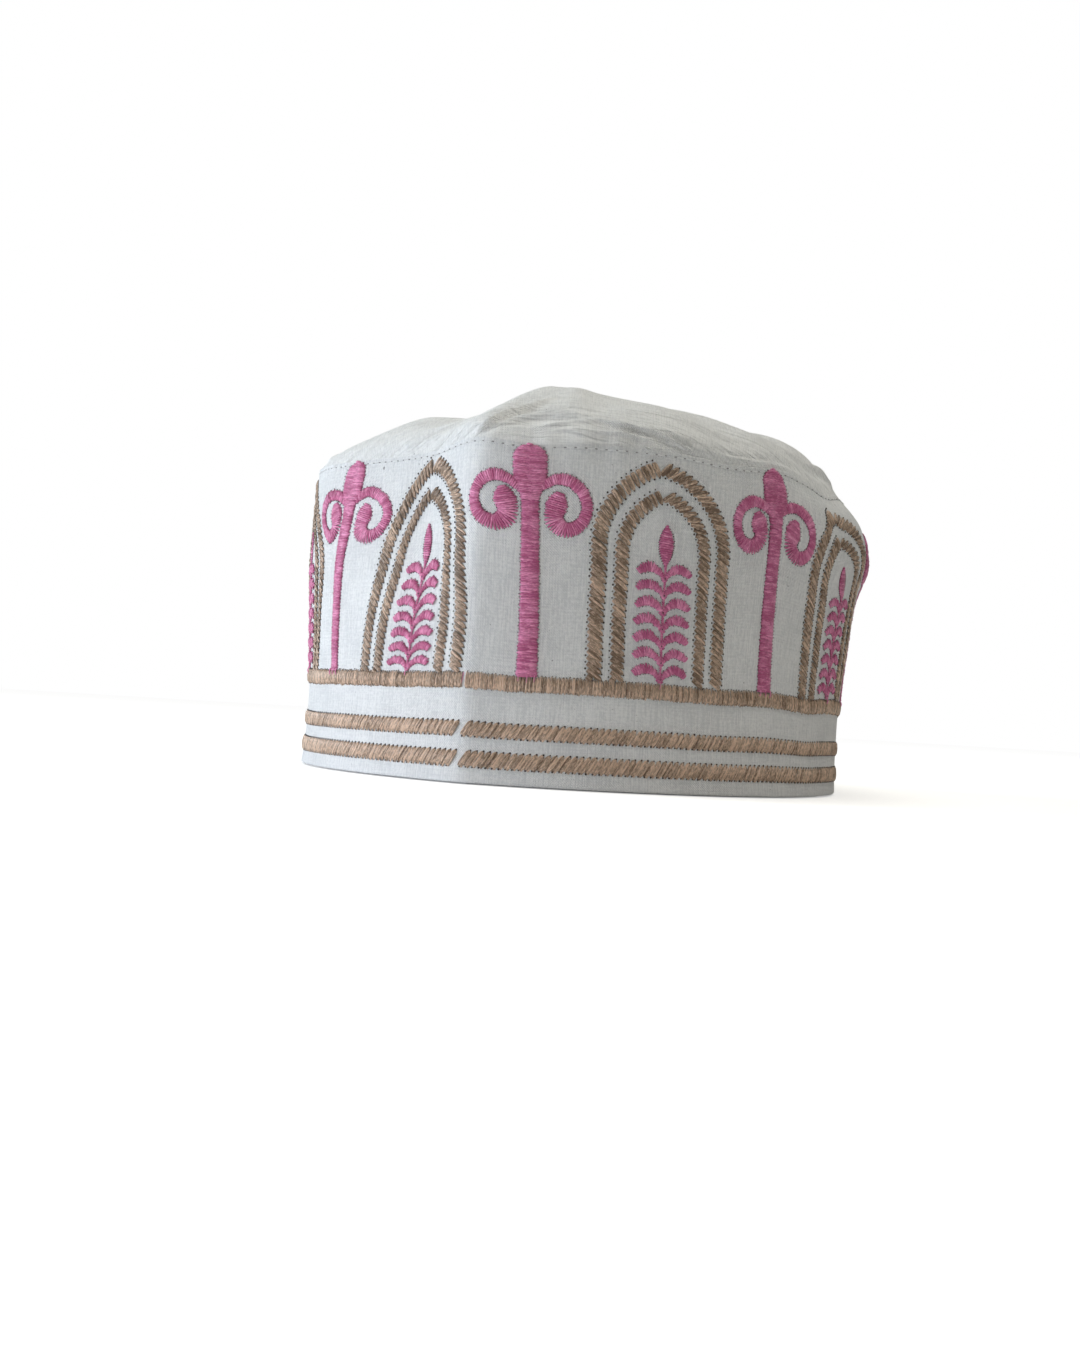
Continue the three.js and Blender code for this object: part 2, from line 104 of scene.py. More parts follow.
# The strip's two ends meet a little left of the crease; motifs repeat evenly from its first
# column.
GUIDE_HEIGHT = 28
STRIP_JOIN_AT = -28.3
STRIP_JOIN_GAP = 1.4
REPEATS = 8
FIRST_COLUMN_AT = -13.2
JOIN_COLUMN = 5
NARROW_COLUMN = 4
NARROWING = ((28, 50, 68), (0.68, 0.78, 1))
SPECK_AT = (-68.5, 86.0)

# How far the worn cloth leans along the band, at places along it and at each fold level.
LEAN_PLACES = (-165, -125, -101, -85, -75, -67, -49, -30, -13, 3, 23, 43, 59, 75, 95, 115, 140)
LEANS = (
    (0, 0, 0, 0, 0, 0, 0),
    (0.8, 0.8, 2.4, 4, 1.5, 0, 0),
    (0.5, 0.8, 2.2, 4.5, 1.5, 0.3, 0.5),
    (0.4, 0.3, -1.0, -1.3, 1.2, 2.9, 4.3),
    (0, 0.2, 0.6, 1.6, 2.6, 2.8, 3.5),
    (-0.5, -0.5, 1.0, 3.6, 5.2, 5.2, 5.0),
    (0, 0, 1.2, 2.9, 2.5, 3.2, 3.4),
    (-1, -1, 0.4, -0.9, -0.5, 0, 0.5),
    (1.5, 1.4, 1, 0.6, 0, -0.4, -0.9),
    (1.3, 1.2, 0.7, 0.5, -0.5, -0.8, -1),
    (1.5, 1.5, 0.9, 0.6, 0, -1.2, -3),
    (0.9, 0.9, 0.6, -0.2, -0.4, -1, -2.5),
    (1, 1, 0, -0.6, -1.4, -2.2, -3),
    (1.1, 1.1, 1, -0.5, -2.5, -2, -6),
    (1.1, 1.1, -0.5, -1.8, -8, -12, -14),
    (0.6, 0.6, 0, -1, -4, -6, -7),
    (0, 0, 0, 0, 0, 0, 0),
)

# Where the cloth sags: place along the band, reach, and how far down at which heights.
SAGS = (
    (-49, 13, (28, 36, 66, 78, 88), (0, 1.4, 1.3, 0, -1.4)),
    (95, 18, (28, 45, 68, 88), (0, 0.5, 2.2, 2.2)),
)
BORDERS = {
    "border_lower": (3.8, 7.9),
    "border_upper": (11.7, 15.5),
    "border_wide": (24.0, 28.2),
}
FOOT = 28.3
ARCHES = {
    "arch_outer": {"half_width": 17.8, "spring": 62, "centre_offset": 5, "stroke": 3.9},
    "arch_inner": {"half_width": 11.8, "spring": 61.3, "centre_offset": 5, "stroke": 3.4},
}

# A column's width at each height, and the middle line of its volutes: out from the column,
# height, and width there. The right volute hangs a little lower and reaches further.
SHAFT_HEIGHTS = (28.3, 40, 55, 69, 74.6, 76.0, 77.4, 78.7, 81.0, 84.4, 86.0, 87.1, 87.9, 88.6)
SHAFT_WIDTHS = (5.2, 5.1, 4.7, 4.6, 5.0, 5.6, 7.0, 8.5, 8.9, 9.0, 8.6, 7.4, 5.4, 1.6)
VOLUTE = (
    (2.2, 77.0, 2.4), (5.6, 79.0, 2.8), (9.3, 79.5, 3.2), (12.8, 77.5, 3.1),
    (14.3, 73.6, 3.0), (13.1, 69.8, 3.2), (11.1, 68.0, 3.5), (8.6, 67.3, 4.0),
    (6.4, 68.5, 4.7), (5.5, 70.0, 5.0), (5.6, 71.6, 5.3), (6.2, 73.5, 5.9),
    (6.7, 75.3, 4.7), (7.2, 76.6, 2.4), (7.4, 77.2, 0.7),
)
RIGHT_VOLUTE_OUT = 0.6
RIGHT_VOLUTE_DOWN = 0.9
RIGHT_VOLUTE_START = ((-0.4, 1.3, 0.2), (0, 1.2, 0), (0, 0.5, 0))

# A leaf's middle line: out from the stem, up from its root, and width there.
LEAF = ((0.1, -1.6, 0.7), (0.9, 0.1, 1.4), (2.2, 1.3, 2.1), (3.9, 2.0, 2.6), (5.7, 1.7, 2.5),
        (7.1, 0.9, 2.0), (7.9, 0.1, 1.0))
LEAF_PAIRS = 7
FIRST_LEAF = 30.1
LEAF_PITCH = 4.43
LEAF_STITCH = 0.6

# The bud over the leaves: height, and width there.
BUD = ((59.2, 0.7), (60.8, 2.4), (62.2, 3.6), (63.6, 4.1), (65.2, 4.2), (66.6, 3.8), (67.9, 2.8),
       (68.8, 1.6), (69.6, 0.3))

# Stitches: the distance from one to the next, how many threads lie in a bundle, how full and
# how high it is, how much lower its side threads are, and how far lifts, places and tones stray.
SATIN_PITCH = 0.55
SHAFT_PITCH = 0.46
WIDE_PITCH = 0.46
STEM_PITCH = 0.6
BUNDLE_PITCH = 1.7
BUNDLE_THREADS = 3
BORDER_THREADS = 4
BUNDLE_FILL = 0.83
BUNDLE_WIDTH = 0.9
BUNDLE_LIFT = 0.46
SIDE_THREAD_DROP = 0.05
LIFT_WANDER = 0.05
PLACE_WANDER = 0.04
TONE_WANDER = 0.16

# How bundles slant, as shares of their length: up an arch's legs, past its shoulder and at its
# point, and in the narrow borders. Then the shoulder's share of the way up the curve's radius,
# and how far under the foot line an arch's path starts.
SLANT = 0.68
SHOULDER_SLANT = 0.35
POINT_SLANT = -0.1
BORDER_SLANT = 0.62
ARCH_SHOULDER = 0.7
ARCH_TUCK = 1.5

# The seam's stitches: how far under the band's top, their pitch and their bare ends.
TOP_STITCH_DOWN = 1.25
TOP_STITCH_PITCH = 2.62
TOP_STITCH_BARE = 0.3

# Steps round the cap of each cloth's mesh, and the rings and sides of a thread.
BAND_STEPS = 700
CROWN_STEPS = 600
LINING_STEPS = 290
THREAD_RINGS = 5
THREAD_SIDES = 4

# Finishes: roughness, sheen and its roughness.
COTTON_FINISH = (0.88, 0.12, 0.5)
THREAD_SHEEN = (0.1, 0.4)

# The floor glows a little for the camera alone, less near the cap: reach in metres, strengths.
FLOOR_HALF_SIZE = 6
FLOOR_DROP = 0.0001
GLOW_REACH = (0.2, 1.6)
FLOOR_GLOW = (0.45, 0.93)
ROOM_COLOUR = (1.0, 0.975, 0.91, 1)
WHITE = (1, 1, 1, 1)

# Lights, in metres, and the place they look at.
LIGHT_TARGET = (0, 0, 0.05)
WINDOW_LIGHT = {"place": (-1.4, 0, 0.43), "width": 0.9, "height": 0.9, "tint": (0.80, 0.91, 1.0)}
TOP_LIGHT = {"place": (0.1, -0.1, 1.2), "width": 1.2, "height": 1.2, "tint": (1.0, 0.985, 0.90)}
LOW_LIGHT = {"place": (-0.2, -0.2, 0.012), "width": 0.1, "height": 0.02,
             "tint": (0.85, 0.88, 1.0)}

# The camera, in degrees and metres: where it looks, its roll, and where it stands.
CAMERA_YAW = -1.2
CAMERA_PITCH = -1.5
CAMERA_ROLL = 3.4
CAMERA_BEHIND = 0.5
CAMERA_HEIGHT = 0.0187


def turn_between(angle, centre):
    """The shortest turn in degrees from the centre to the angle."""
    return (angle - centre + 180) % 360 - 180


def bell(distance):
    """A soft bump, 1 high in its middle."""
    return np.exp(-distance * distance)


def smooth_table(place, places, values):
    """A smooth curve through a table, level beyond its ends."""
    xs = np.asarray(places, float)
    ys = np.asarray(values, float)
    slopes = np.gradient(ys, xs)
    x = np.clip(place, xs[0], xs[-1])
    k = np.clip(np.searchsorted(xs, x, side="right") - 1, 0, len(xs) - 2)
    step = xs[k + 1] - xs[k]
    t = (x - xs[k]) / step
    rest = 1 - t
    return (rest * rest * (1 + 2 * t) * ys[k] + t * t * (3 - 2 * t) * ys[k + 1]
            + t * rest * rest * step * slopes[k] - t * t * rest * step * slopes[k + 1])


def fold_shape(angle, fold):
    """A fold's share of its depth at an angle: a soft bump, or a sharp crease."""
    distance = turn_between(angle, fold["at"]) / fold["spread"]
    if not fold["sharp"]:
        return bell(distance)
    return np.exp(-SHARP_FLANK * (np.hypot(distance, SHARP_SOFTNESS) - SHARP_SOFTNESS))


def wall_radius(angle, height, folds):
    """How far the wall stands from the oval's middle: an ellipse with its folds."""
    t = np.radians(angle)
    radius = 1 / np.hypot(np.sin(t) / HALF_WIDTH, np.cos(t) / HALF_LENGTH)
    for fold in folds:
        depth = smooth_table(height, FOLD_LEVELS, fold["depth"])
        radius = radius + fold_shape(angle, fold) * depth
    return radius


def wall_top(angle):
    """The height of the crown's seam round the band."""
    top = BAND_HEIGHT + np.zeros_like(angle)
    for at, spread, height in TOP_WAVES:
        top = top + height * bell(turn_between(angle, at) / spread)
    return top


def wall_point(angle, height, folds=FOLDS + DENTS):
    """The smooth outer face of the band, in millimetres from the oval's middle."""
    radius = wall_radius(angle, height, folds)
    t = np.radians(angle)
    z = HEM_REVEAL + height * wall_top(angle) / BAND_HEIGHT
    return np.stack([radius * np.sin(t), -radius * np.cos(t), z], -1)


def level_normal(angle, height):
    """The level direction straight out of the wall."""
    step = 0.5
    along = wall_point(angle + step, height) - wall_point(angle - step, height)
    length = np.hypot(along[..., 0], along[..., 1])
    return np.stack([along[..., 1] / length, -along[..., 0] / length, 0 * length], -1)


def cap_shift():
    """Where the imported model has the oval's middle, measured on its band."""
    angles = CREASE_AT + np.arange(FACETS_ROUND) * 360 / FACETS_ROUND
    rows = [wall_point(angles, np.full(FACETS_ROUND, float(row)), FOLDS) for row in FACET_ROWS]
    corners = np.concatenate(rows)
    low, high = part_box("outer_band")
    middle = (corners.min(0) + corners.max(0)) / 2
    packed = np.array((low + high) / 2) / MM
    return np.array([packed[0] - middle[0], packed[1] - middle[1], 0])


SHIFT = cap_shift()


def guide_table():
    """Angles, the length along the band at each, and the whole girth."""
    angles = np.arange(-180, 181, 1.0)
    points = wall_point(angles, np.full(angles.shape, float(GUIDE_HEIGHT)))[:, :2]
    lengths = np.concatenate([[0], np.cumsum(np.linalg.norm(np.diff(points, axis=0), axis=1))])
    return angles, lengths - lengths[180], lengths[-1]


GUIDE_ANGLES, GUIDE_LENGTHS, GIRTH = guide_table()
REPEAT = GIRTH / REPEATS


def angle_at(along):
    """The angle of a length along the band, counted from the back. It may run past the front."""
    turns = np.floor((along - GUIDE_LENGTHS[0]) / GIRTH)
    return np.interp(along - turns * GIRTH, GUIDE_LENGTHS, GUIDE_ANGLES) + turns * 360


def lean_chart():
    """The lean at each millimetre along the worn part of the band and up it."""
    heights = np.arange(BAND_HEIGHT + 1)
    along = np.arange(LEAN_PLACES[0], LEAN_PLACES[-1] + 1.0)
    rows = np.stack([smooth_table(heights, FOLD_LEVELS, shifts) for shifts in LEANS])
    return np.stack([smooth_table(along, LEAN_PLACES, column) for column in rows.T], -1)


LEAN_CHART = lean_chart()


def lean_shift(along, height):
    """The lean at places along the band and up it, read between the chart's points."""
    last_along, last_height = LEAN_CHART.shape[0] - 1, LEAN_CHART.shape[1] - 1
    margin = 0.001
    column_at = np.clip(along - LEAN_PLACES[0], 0, last_along - margin)
    row_at = np.clip(height, 0, last_height - margin)
    column, row = column_at.astype(int), row_at.astype(int)
    across, up = column_at - column, row_at - row
    low = LEAN_CHART[column, row] * (1 - across) + LEAN_CHART[column + 1, row] * across
    high = LEAN_CHART[column, row + 1] * (1 - across) + LEAN_CHART[column + 1, row + 1] * across
    return low * (1 - up) + high * up


def sag(along, height):
    """How far down the worn cloth hangs at a place along the band."""
    total = 0
    for at, spread, heights, amounts in SAGS:
        total = total + bell((along - at) / spread) * smooth_table(height, heights, amounts)
    return total


def wave_set(seed, count, turns, climbs):
    """Random level waves: turns round the cap, cycles over the band's height, size and phase."""
    random = np.random.default_rng(seed)
    waves = []
    for _ in range(count):
        waves.append((random.integers(*turns), random.uniform(*climbs),
                      random.uniform(0.4, 1.0), random.uniform(0, 2 * math.pi)))
    return waves


# The band's relief: puckers under the seam, swells over its middle, fine ripples, the dip along
# the seam's stitches and the rolled hem. Heights and reaches are in millimetres.
PUCKERS = wave_set(3, 14, (24, 90), (-0.6, 0.6))
PUCKER_HEIGHT = 0.26
PUCKER_REACH = 8
SWELLS = wave_set(5, 10, (5, 22), (-1.6, 1.6))
SWELL_HEIGHT = 0.34
RIPPLES = wave_set(8, 12, (30, 110), (-5, 5))
RIPPLE_HEIGHT = 0.05
SEAM_DIP = 0.13
SEAM_DIP_REACH = 0.6
HEM_ROLL = 0.22
HEM_ROLL_REACH = 3.5


def wave_height(waves, angle, share):
    """The sum of a set of waves, kept to about the size of one."""
    total = 0
    for turns, climbs, size, phase in waves:
        climb = 2 * math.pi * climbs * share
        total = total + size * np.sin(turns * np.radians(angle) + climb + phase)
    return total / math.sqrt(len(waves))


def band_relief(angle, height):
    """How far the finished cloth stands off the smooth wall."""
    share = height / BAND_HEIGHT
    down = BAND_HEIGHT - height
    middle_share = np.sin(math.pi * np.clip(share, 0, 1))
    relief = SWELL_HEIGHT * wave_height(SWELLS, angle, share) * middle_share
    seam_share = np.exp(-np.clip(down, 0, BAND_HEIGHT) / PUCKER_REACH)
    relief = relief + PUCKER_HEIGHT * wave_height(PUCKERS, angle, share) * seam_share
    relief = relief + RIPPLE_HEIGHT * wave_height(RIPPLES, angle, share)
    relief = relief - SEAM_DIP * bell((down - TOP_STITCH_DOWN) / SEAM_DIP_REACH)
    return relief + HEM_ROLL * bell(height / HEM_ROLL_REACH)


def band_surface(angle, height):
    """The finished outer face of the band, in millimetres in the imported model's frame."""
    smooth = wall_point(angle, height)
    relief = band_relief(angle, height)
    return smooth + level_normal(angle, height) * relief[..., None] + SHIFT


def unit(vectors):
    """The vectors, each drawn to a length of 1."""
    return vectors / np.linalg.norm(vectors, axis=-1, keepdims=True)


def cloth_seat(along, height):
    """A place of a motif on the finished, worn band, and the direction straight out of it."""
    return border_seat(along + lean_shift(along, height), height - sag(along, height))


def border_seat(along, height):
    """A place on the finished band and the direction straight out of it."""
    angle = angle_at(along)
    turn, rise = 0.12, 0.25
    level = band_surface(angle + turn, height) - band_surface(angle - turn, height)
    up = band_surface(angle, height + rise) - band_surface(angle, height - rise)
    return band_surface(angle, height), unit(np.cross(level, up))


def crown_rise(angle, reach):
    """How far the crown stands over its seam, from its profiles at the back and the sides."""
    back = smooth_table(reach, RISE_AT, RISE_BACK)
    left = smooth_table(reach, RISE_AT, RISE_LEFT)
    right = smooth_table(reach, RISE_AT, RISE_RIGHT)
    left_share = bell(turn_between(angle, -90) / SIDE_SPREAD)
    right_share = bell(turn_between(angle, 90) / SIDE_SPREAD)
    return back + left_share * (left - back) + right_share * (right - back)


def ridge_height(x, y):
    """The ridge that runs from the crease over the crown, steep at its left."""
    t = math.radians(CREASE_AT)
    along = x * math.sin(t) - y * math.cos(t)
    across = x * math.cos(t) + y * math.sin(t) - smooth_table(along, RIDGE_PLACES, RIDGE_SWAY)
    reach = np.where(across < 0, RIDGE_LEFT_REACH, RIDGE_RIGHT_REACH)
    return smooth_table(along, RIDGE_PLACES, RIDGE_HEIGHTS) * bell(across / reach)


# Wrinkles of the crown, each a line of places: degrees round, and millimetres over the seam.
# Then its width and its height.
WRINKLES = (
    (((-8, 5), (-2.4, 6.2), (2, 6.7), (6.6, 5.5), (10.8, 4.4), (13.5, 2.5), (16.2, 1.4), (21.4, 1),
      (26, 0.8)), 0.6, 0.5),
    (((-1, 3), (5, 3.5), (7.8, 2.6), (10.5, 1.7)), 0.5, 0.35),
    (((-13.6, 5), (-11.2, 7.5), (-6, 8.6), (-1.5, 8), (3, 7.6)), 0.8, 0.6),
    (((12, 6), (14.3, 4.3), (17.7, 2.3), (22.3, 1.9), (31, 1.4), (43, 1.2)), 0.6, 0.45),
    (((-17, 1), (-15.5, 4), (-14, 7.5), (-11, 11), (-7, 14)), 0.9, 0.8),
    (((5, 12), (14, 12), (22, 10), (30, 7.5)), 1.3, 0.5),
    (((-34, 6), (-29, 8), (-24, 11), (-20, 14)), 1.1, 0.4),
    (((40, 9), (50, 8), (62, 6), (72, 3)), 1.2, 0.6),
    (((96, 5), (108, 8), (120, 7), (132, 4)), 1.2, 0.6),
    (((118, 3), (130, 4), (142, 3), (150, 1.5)), 0.8, 0.4),
    (((150, 9), (162, 11), (176, 10), (190, 6)), 1.3, 0.6),
    (((184, 4), (196, 5), (206, 3.5)), 0.8, 0.4),
    (((-148, 8), (-136, 9), (-122, 6), (-112, 3)), 1.1, 0.5),
    (((-96, 4), (-84, 5.5), (-72, 4.5), (-62, 2)), 0.9, 0.4),
)
MM_PER_DEGREE = 1.65
WRINKLE_RISE = 2.0
WRINKLE_TAPER = 0.6
TROUGH_DEPTH = 0.35
TROUGH_OUT = 1.9


def wrinkle_height(angle, over_seam):
    """The crown's narrow folds, as ridges with a soft foot."""
    total = np.zeros_like(angle)
    for line, width, height in WRINKLES:
        nearest = np.full(angle.shape, np.inf)
        share = np.zeros_like(angle)
        for k in range(len(line) - 1):
            (a0, h0), (a1, h1) = line[k], line[k + 1]
            dx, dy = (a1 - a0) * MM_PER_DEGREE, h1 - h0
            px = turn_between(angle, a0) * MM_PER_DEGREE
            py = over_seam - h0
            t = np.clip((px * dx + py * dy) / (dx * dx + dy * dy), 0, 1)
            distance = np.hypot(px - t * dx, py - t * dy)
            share = np.where(distance < nearest, (k + t) / (len(line) - 1), share)
            nearest = np.minimum(nearest, distance)
        taper = np.sin(math.pi * np.clip(share, 0.02, 0.98)) ** WRINKLE_TAPER
        trough = TROUGH_DEPTH * bell((nearest - TROUGH_OUT * width) / width)
        ridge = bell(nearest / width) - trough
        total = total + WRINKLE_RISE * height * taper * ridge
    return total


# Where the crown stands higher or lower across its width.
ACROSS = (-76, -63, -56, -48, -41, -33, -23, -18, -13, -8, -3, 2, 11, 21, 32, 42, 53, 60, 67, 72,
          76)
ACROSS_RISE = (0.8, 0.6, 1.1, 1.3, 0, -1.6, -2.0, -1.5, -0.4, 0, 0, -0.9, -1.1, -0.4, -0.7, -0.9,
               0.8, 1.5, 1.3, 0.5, -0.6)
ACROSS_FADE = 8

# The crown's edge sinks into the seam, and the band's puckers fade out from it.
EDGE_DROP = 0.35
EDGE_DROP_FADE = 60
PUCKER_FADE = 12

# The crown's loose swells and creases, and where its sides turn steep enough to swell outwards.
CROWN_SWELLS = wave_set(12, 9, (3, 9), (-1.2, 1.2))
CROWN_SWELL_HEIGHT = 0.35
CROWN_CREASES = wave_set(14, 12, (10, 34), (-4, 4))
CROWN_CREASE_HEIGHT = 0.12
LOOSE_OVER_SEAM = 3
STEEP_FROM = 0.7
STEEP_OUT = 0.75
STEEP_DOWN = 0.4


def crown_surface(angle, reach):
    """The crown's outer face: reach is 0 in its middle and 1 on its seam."""
    top = np.full_like(angle, BAND_HEIGHT)
    swell = band_relief(angle, top) * reach ** PUCKER_FADE
    edge = wall_point(angle, top) + level_normal(angle, top) * swell[..., None]
    x = edge[..., 0] * reach
    y = edge[..., 1] * reach
    base = edge[..., 2] * reach + (BAND_HEIGHT + HEM_REVEAL) * (1 - reach)
    rise = crown_rise(angle, reach)
    soft = (CROWN_SWELL_HEIGHT * wave_height(CROWN_SWELLS, angle, reach)
            + CROWN_CREASE_HEIGHT * wave_height(CROWN_CREASES, angle, reach)) * reach * reach
    loose = np.clip(rise / LOOSE_OVER_SEAM, 0, 1) * soft + wrinkle_height(angle, rise)
    steep = np.clip((reach - STEEP_FROM) / (1 - STEEP_FROM), 0, 1)
    nearly_flat = 1e-6
    outward = unit(np.stack([x, y, 0 * x + nearly_flat], -1))
    out = outward * (STEEP_OUT * steep * loose)[..., None]
    uneven = smooth_table(x, ACROSS, ACROSS_RISE) * (1 - reach ** ACROSS_FADE)
    lifted = loose * (1 - STEEP_DOWN * steep) - EDGE_DROP * reach ** EDGE_DROP_FADE
    z = base + rise + ridge_height(x, y) + uneven + lifted
    return np.stack([x, y, z], -1) + out + SHIFT


def crown_normal(angle, reach):
    """The direction straight out of the crown."""
    turn, step = 0.3, 0.004
    level = crown_surface(angle + turn, reach) - crown_surface(angle - turn, reach)
    inward = crown_surface(angle, reach - step) - crown_surface(angle, reach)
    return unit(np.cross(level, inward))


# The cloths in millimetres: how far in each lies, how much lower its foot and higher its top
# are, and which of its outer rows its inner face has; then its rounded edges.
OUTER_CLOTH = {"inset": 0.0, "foot": 0.0, "top": 0.28, "inner_every": 6}
LINING_CLOTH = {"inset": 1.7, "foot": -0.5, "top": 0.2, "inner_every": 4}
HEM_ROUNDING = 0.4
LINING_RELIEF = 0.6
LINING_OUT = -0.1
CROWN_ROUNDING = 0.45
CROWN_INNER_EVERY = 4
LEAST_REACH = 0.02


def mapped_grid(name, table, lengths):
    """A grid laid over a table of places, in millimetres. Its doubles are merged, so that a
    table whose ends meet makes a closed skin. The UV map has lengths in metres."""
    across, down = table.shape[0] - 1, table.shape[1] - 1
    bm = bmesh.new()
    bm.loops.layers.uv.new("UVMap")
    bmesh.ops.create_grid(bm, x_segments=across, y_segments=down, size=0.5, calc_uvs=True)
    mesh = bpy.data.meshes.new(name)
    bm.to_mesh(mesh)
    bm.free()
    count = len(mesh.vertices)
    flat = np.empty(count * 3)
    mesh.vertices.foreach_get("co", flat)
    flat = flat.reshape(-1, 3)
    column = np.rint((flat[:, 0] + 0.5) * across).astype(int)
    row = np.rint((flat[:, 1] + 0.5) * down).astype(int)
    mesh.vertices.foreach_set("co", (table[column, row] * MM).ravel())
    corners = np.empty(len(mesh.loops), int)
    mesh.loops.foreach_get("vertex_index", corners)
    mesh.uv_layers[0].data.foreach_set("uv", (lengths[column, row][corners] * MM).ravel())
    bm = bmesh.new()
    bm.from_mesh(mesh)
    bmesh.ops.remove_doubles(bm, verts=bm.verts, dist=1e-7)
    bmesh.ops.dissolve_degenerate(bm, dist=1e-9, edges=bm.edges)
    bmesh.ops.recalc_face_normals(bm, faces=bm.faces)
    if bm.calc_volume(signed=True) < 0:
        bmesh.ops.reverse_faces(bm, faces=bm.faces)
    bm.to_mesh(mesh)
    bm.free()
    mesh.polygons.foreach_set("use_smooth", [True] * len(mesh.polygons))
    return mesh


def piece_from(name, mesh, material, *nodes):
    """Puts a finished mesh in the scene as one piece of the cap, in the named material."""
    piece = bpy.data.objects.new(name, mesh)
    bpy.context.scene.collection.objects.link(piece)
    mesh.materials.append(finished(material))
    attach(piece, "root")
    if nodes:
        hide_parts(*nodes)
    return piece


def stitched(name, stitching, material, *nodes):
    """Joins a motif's threads in one mesh and puts it in the scene."""
    piece_from(name, stitching.mesh(name), material, *nodes)


def profile_lengths(table):
    """Lengths along and down a wall's table of places: along a row half way up its outer face,
    and down its first column."""
    middle = table.shape[1] // 3
    along = np.linalg.norm(np.diff(table[:, middle], axis=0), axis=1)
    along = np.concatenate([[0], np.cumsum(along)])
    down = np.linalg.norm(np.diff(table[0], axis=0), axis=1)
    down = np.concatenate([[0], np.cumsum(down)])
    return np.stack(np.meshgrid(along, down, indexing="ij"), -1)


def band_table(steps, heights, surface, cloth, inset, foot, top, inner_every):
    """A closed wall: up its outer face, over its rounded top, down and round its hem."""
    angles = np.linspace(-180, 180, steps + 1)
    columns = []
    half = cloth / 2
    edge_turns = np.linspace(0, math.pi, 6)[1:-1]

    def row(height, outward, lift):
        level = np.full(angles.shape, float(height))
        place = surface(angles, level) - level_normal(angles, level) * outward
        place[:, 2] += lift
        return place

    for height in heights:
        columns.append(row(height, inset, 0 if height > heights[0] else foot))
    for turn in edge_turns:
        inward = inset + half - half * math.cos(turn)
        columns.append(row(heights[-1], inward, top * math.sin(turn)))
    inner_heights = heights[::-1][::inner_every]
    for height in inner_heights:
        columns.append(row(height, inset + cloth, 0 if height > heights[0] else foot))
    if inner_heights[-1] != heights[0]:
        columns.append(row(heights[0], inset + cloth, foot))
    for turn in edge_turns:
        inward = inset + half + half * math.cos(turn)
        columns.append(row(heights[0], inward, foot - HEM_ROUNDING * math.sin(turn)))
    columns.append(columns[0])
    return np.stack(columns, 1)


def thread_shape():
    """One closed thread: its rings run along X and its sides turn about X."""
    bm = bmesh.new()
    bm.loops.layers.uv.new("UVMap")
    bmesh.ops.create_grid(bm, x_segments=THREAD_RINGS - 1, y_segments=THREAD_SIDES, size=0.5,
                          calc_uvs=True)
    for vertex in bm.verts:
        ring = round((vertex.co.x + 0.5) * (THREAD_RINGS - 1))
        turn = 2 * math.pi * (vertex.co.y + 0.5)
        vertex.co = Vector((ring, math.cos(turn), math.sin(turn)))
    bmesh.ops.remove_doubles(bm, verts=bm.verts, dist=1e-4)
    open_edges = [edge for edge in bm.edges if edge.is_boundary]
    bmesh.ops.holes_fill(bm, edges=open_edges, sides=THREAD_SIDES)
    bmesh.ops.recalc_face_normals(bm, faces=bm.faces)
    return shape_arrays(bm)


def hole_shape():
    """A low six-sided button that carries the painted shade of a needle hole's mouth."""
    bm = bmesh.new()
    bm.loops.layers.uv.new("UVMap")
    bmesh.ops.create_cone(bm, cap_ends=True, cap_tris=False, segments=6, radius1=1, radius2=0.6,
                          depth=1)
    bmesh.ops.recalc_face_normals(bm, faces=bm.faces)
    return shape_arrays(bm)


def shape_arrays(bm):
    """A small mesh as arrays: places, faces' corners, corners in each face, and UV places."""
    bm.verts.index_update()
    uv_layer = bm.loops.layers.uv.active
    places = np.array([vertex.co[:] for vertex in bm.verts])
    corners = np.array([loop.vert.index for face in bm.faces for loop in face.loops])
    sizes = np.array([len(face.verts) for face in bm.faces])
    uv = np.array([loop[uv_layer].uv[:] for face in bm.faces for loop in face.loops])
    bm.free()
    return {"places": places, "corners": corners, "sizes": sizes, "uv": uv}


# The two small shapes that all embroidery is made of, and each thread corner's ring and turn.
THREAD = thread_shape()
HOLE = hole_shape()
RING_OF = np.rint(THREAD["places"][:, 0]).astype(int)
SIDE_TURNS = np.arctan2(THREAD["places"][:, 2], THREAD["places"][:, 1])

# For each ring of a thread: its share of the length, of the lift, of the width, and of the way
# aside. Blunt threads narrow to their last end, full ones hardly do.
RING_SHARES = np.array([0, 0.16, 0.5, 0.84, 1])
RING_LIFTS = np.array([-0.12, 0.72, 1, 0.72, -0.12])
RING_WIDTHS = np.array([0.62, 0.95, 1, 0.95, 0.62])
RING_SPREADS = np.array([0.15, 0.8, 1, 0.8, 0.15])
BLUNT_SPREADS = np.array([0.8, 1, 1, 0.75, 0.1])
BLUNT_WIDTHS = np.array([0.8, 1, 1, 0.9, 0.5])
FULL_SPREADS = np.array([1, 1.1, 1.1, 1, 0.45])
FULL_WIDTHS = np.array([0.9, 1.15, 1.15, 1.1, 0.6])
SHAFT_LIFTS = np.array([-0.12, 0.8, 1, 1, 0.85])
WIDE_LIFTS = np.array([-0.12, 0.75, 1.05, 0.6, -0.12])
WIDE_WIDTHS = np.array([0.75, 1.15, 1.0, 0.8, 0.5])

# Tone drifts slowly from thread to thread; each thread reads its own place of the fibres.
DRIFT_WEIGHTS = (0.6, 1, 0.6)
FIBRE_PLACES = (0, 50)

# Needle holes, low buttons dark with painted shade: the least and most of their size, how far out
# they sit and how high they are.
HOLE_SIZES = (0.75, 1.15)
HOLE_LIFT = 0.14
HOLE_HEIGHT = 0.2


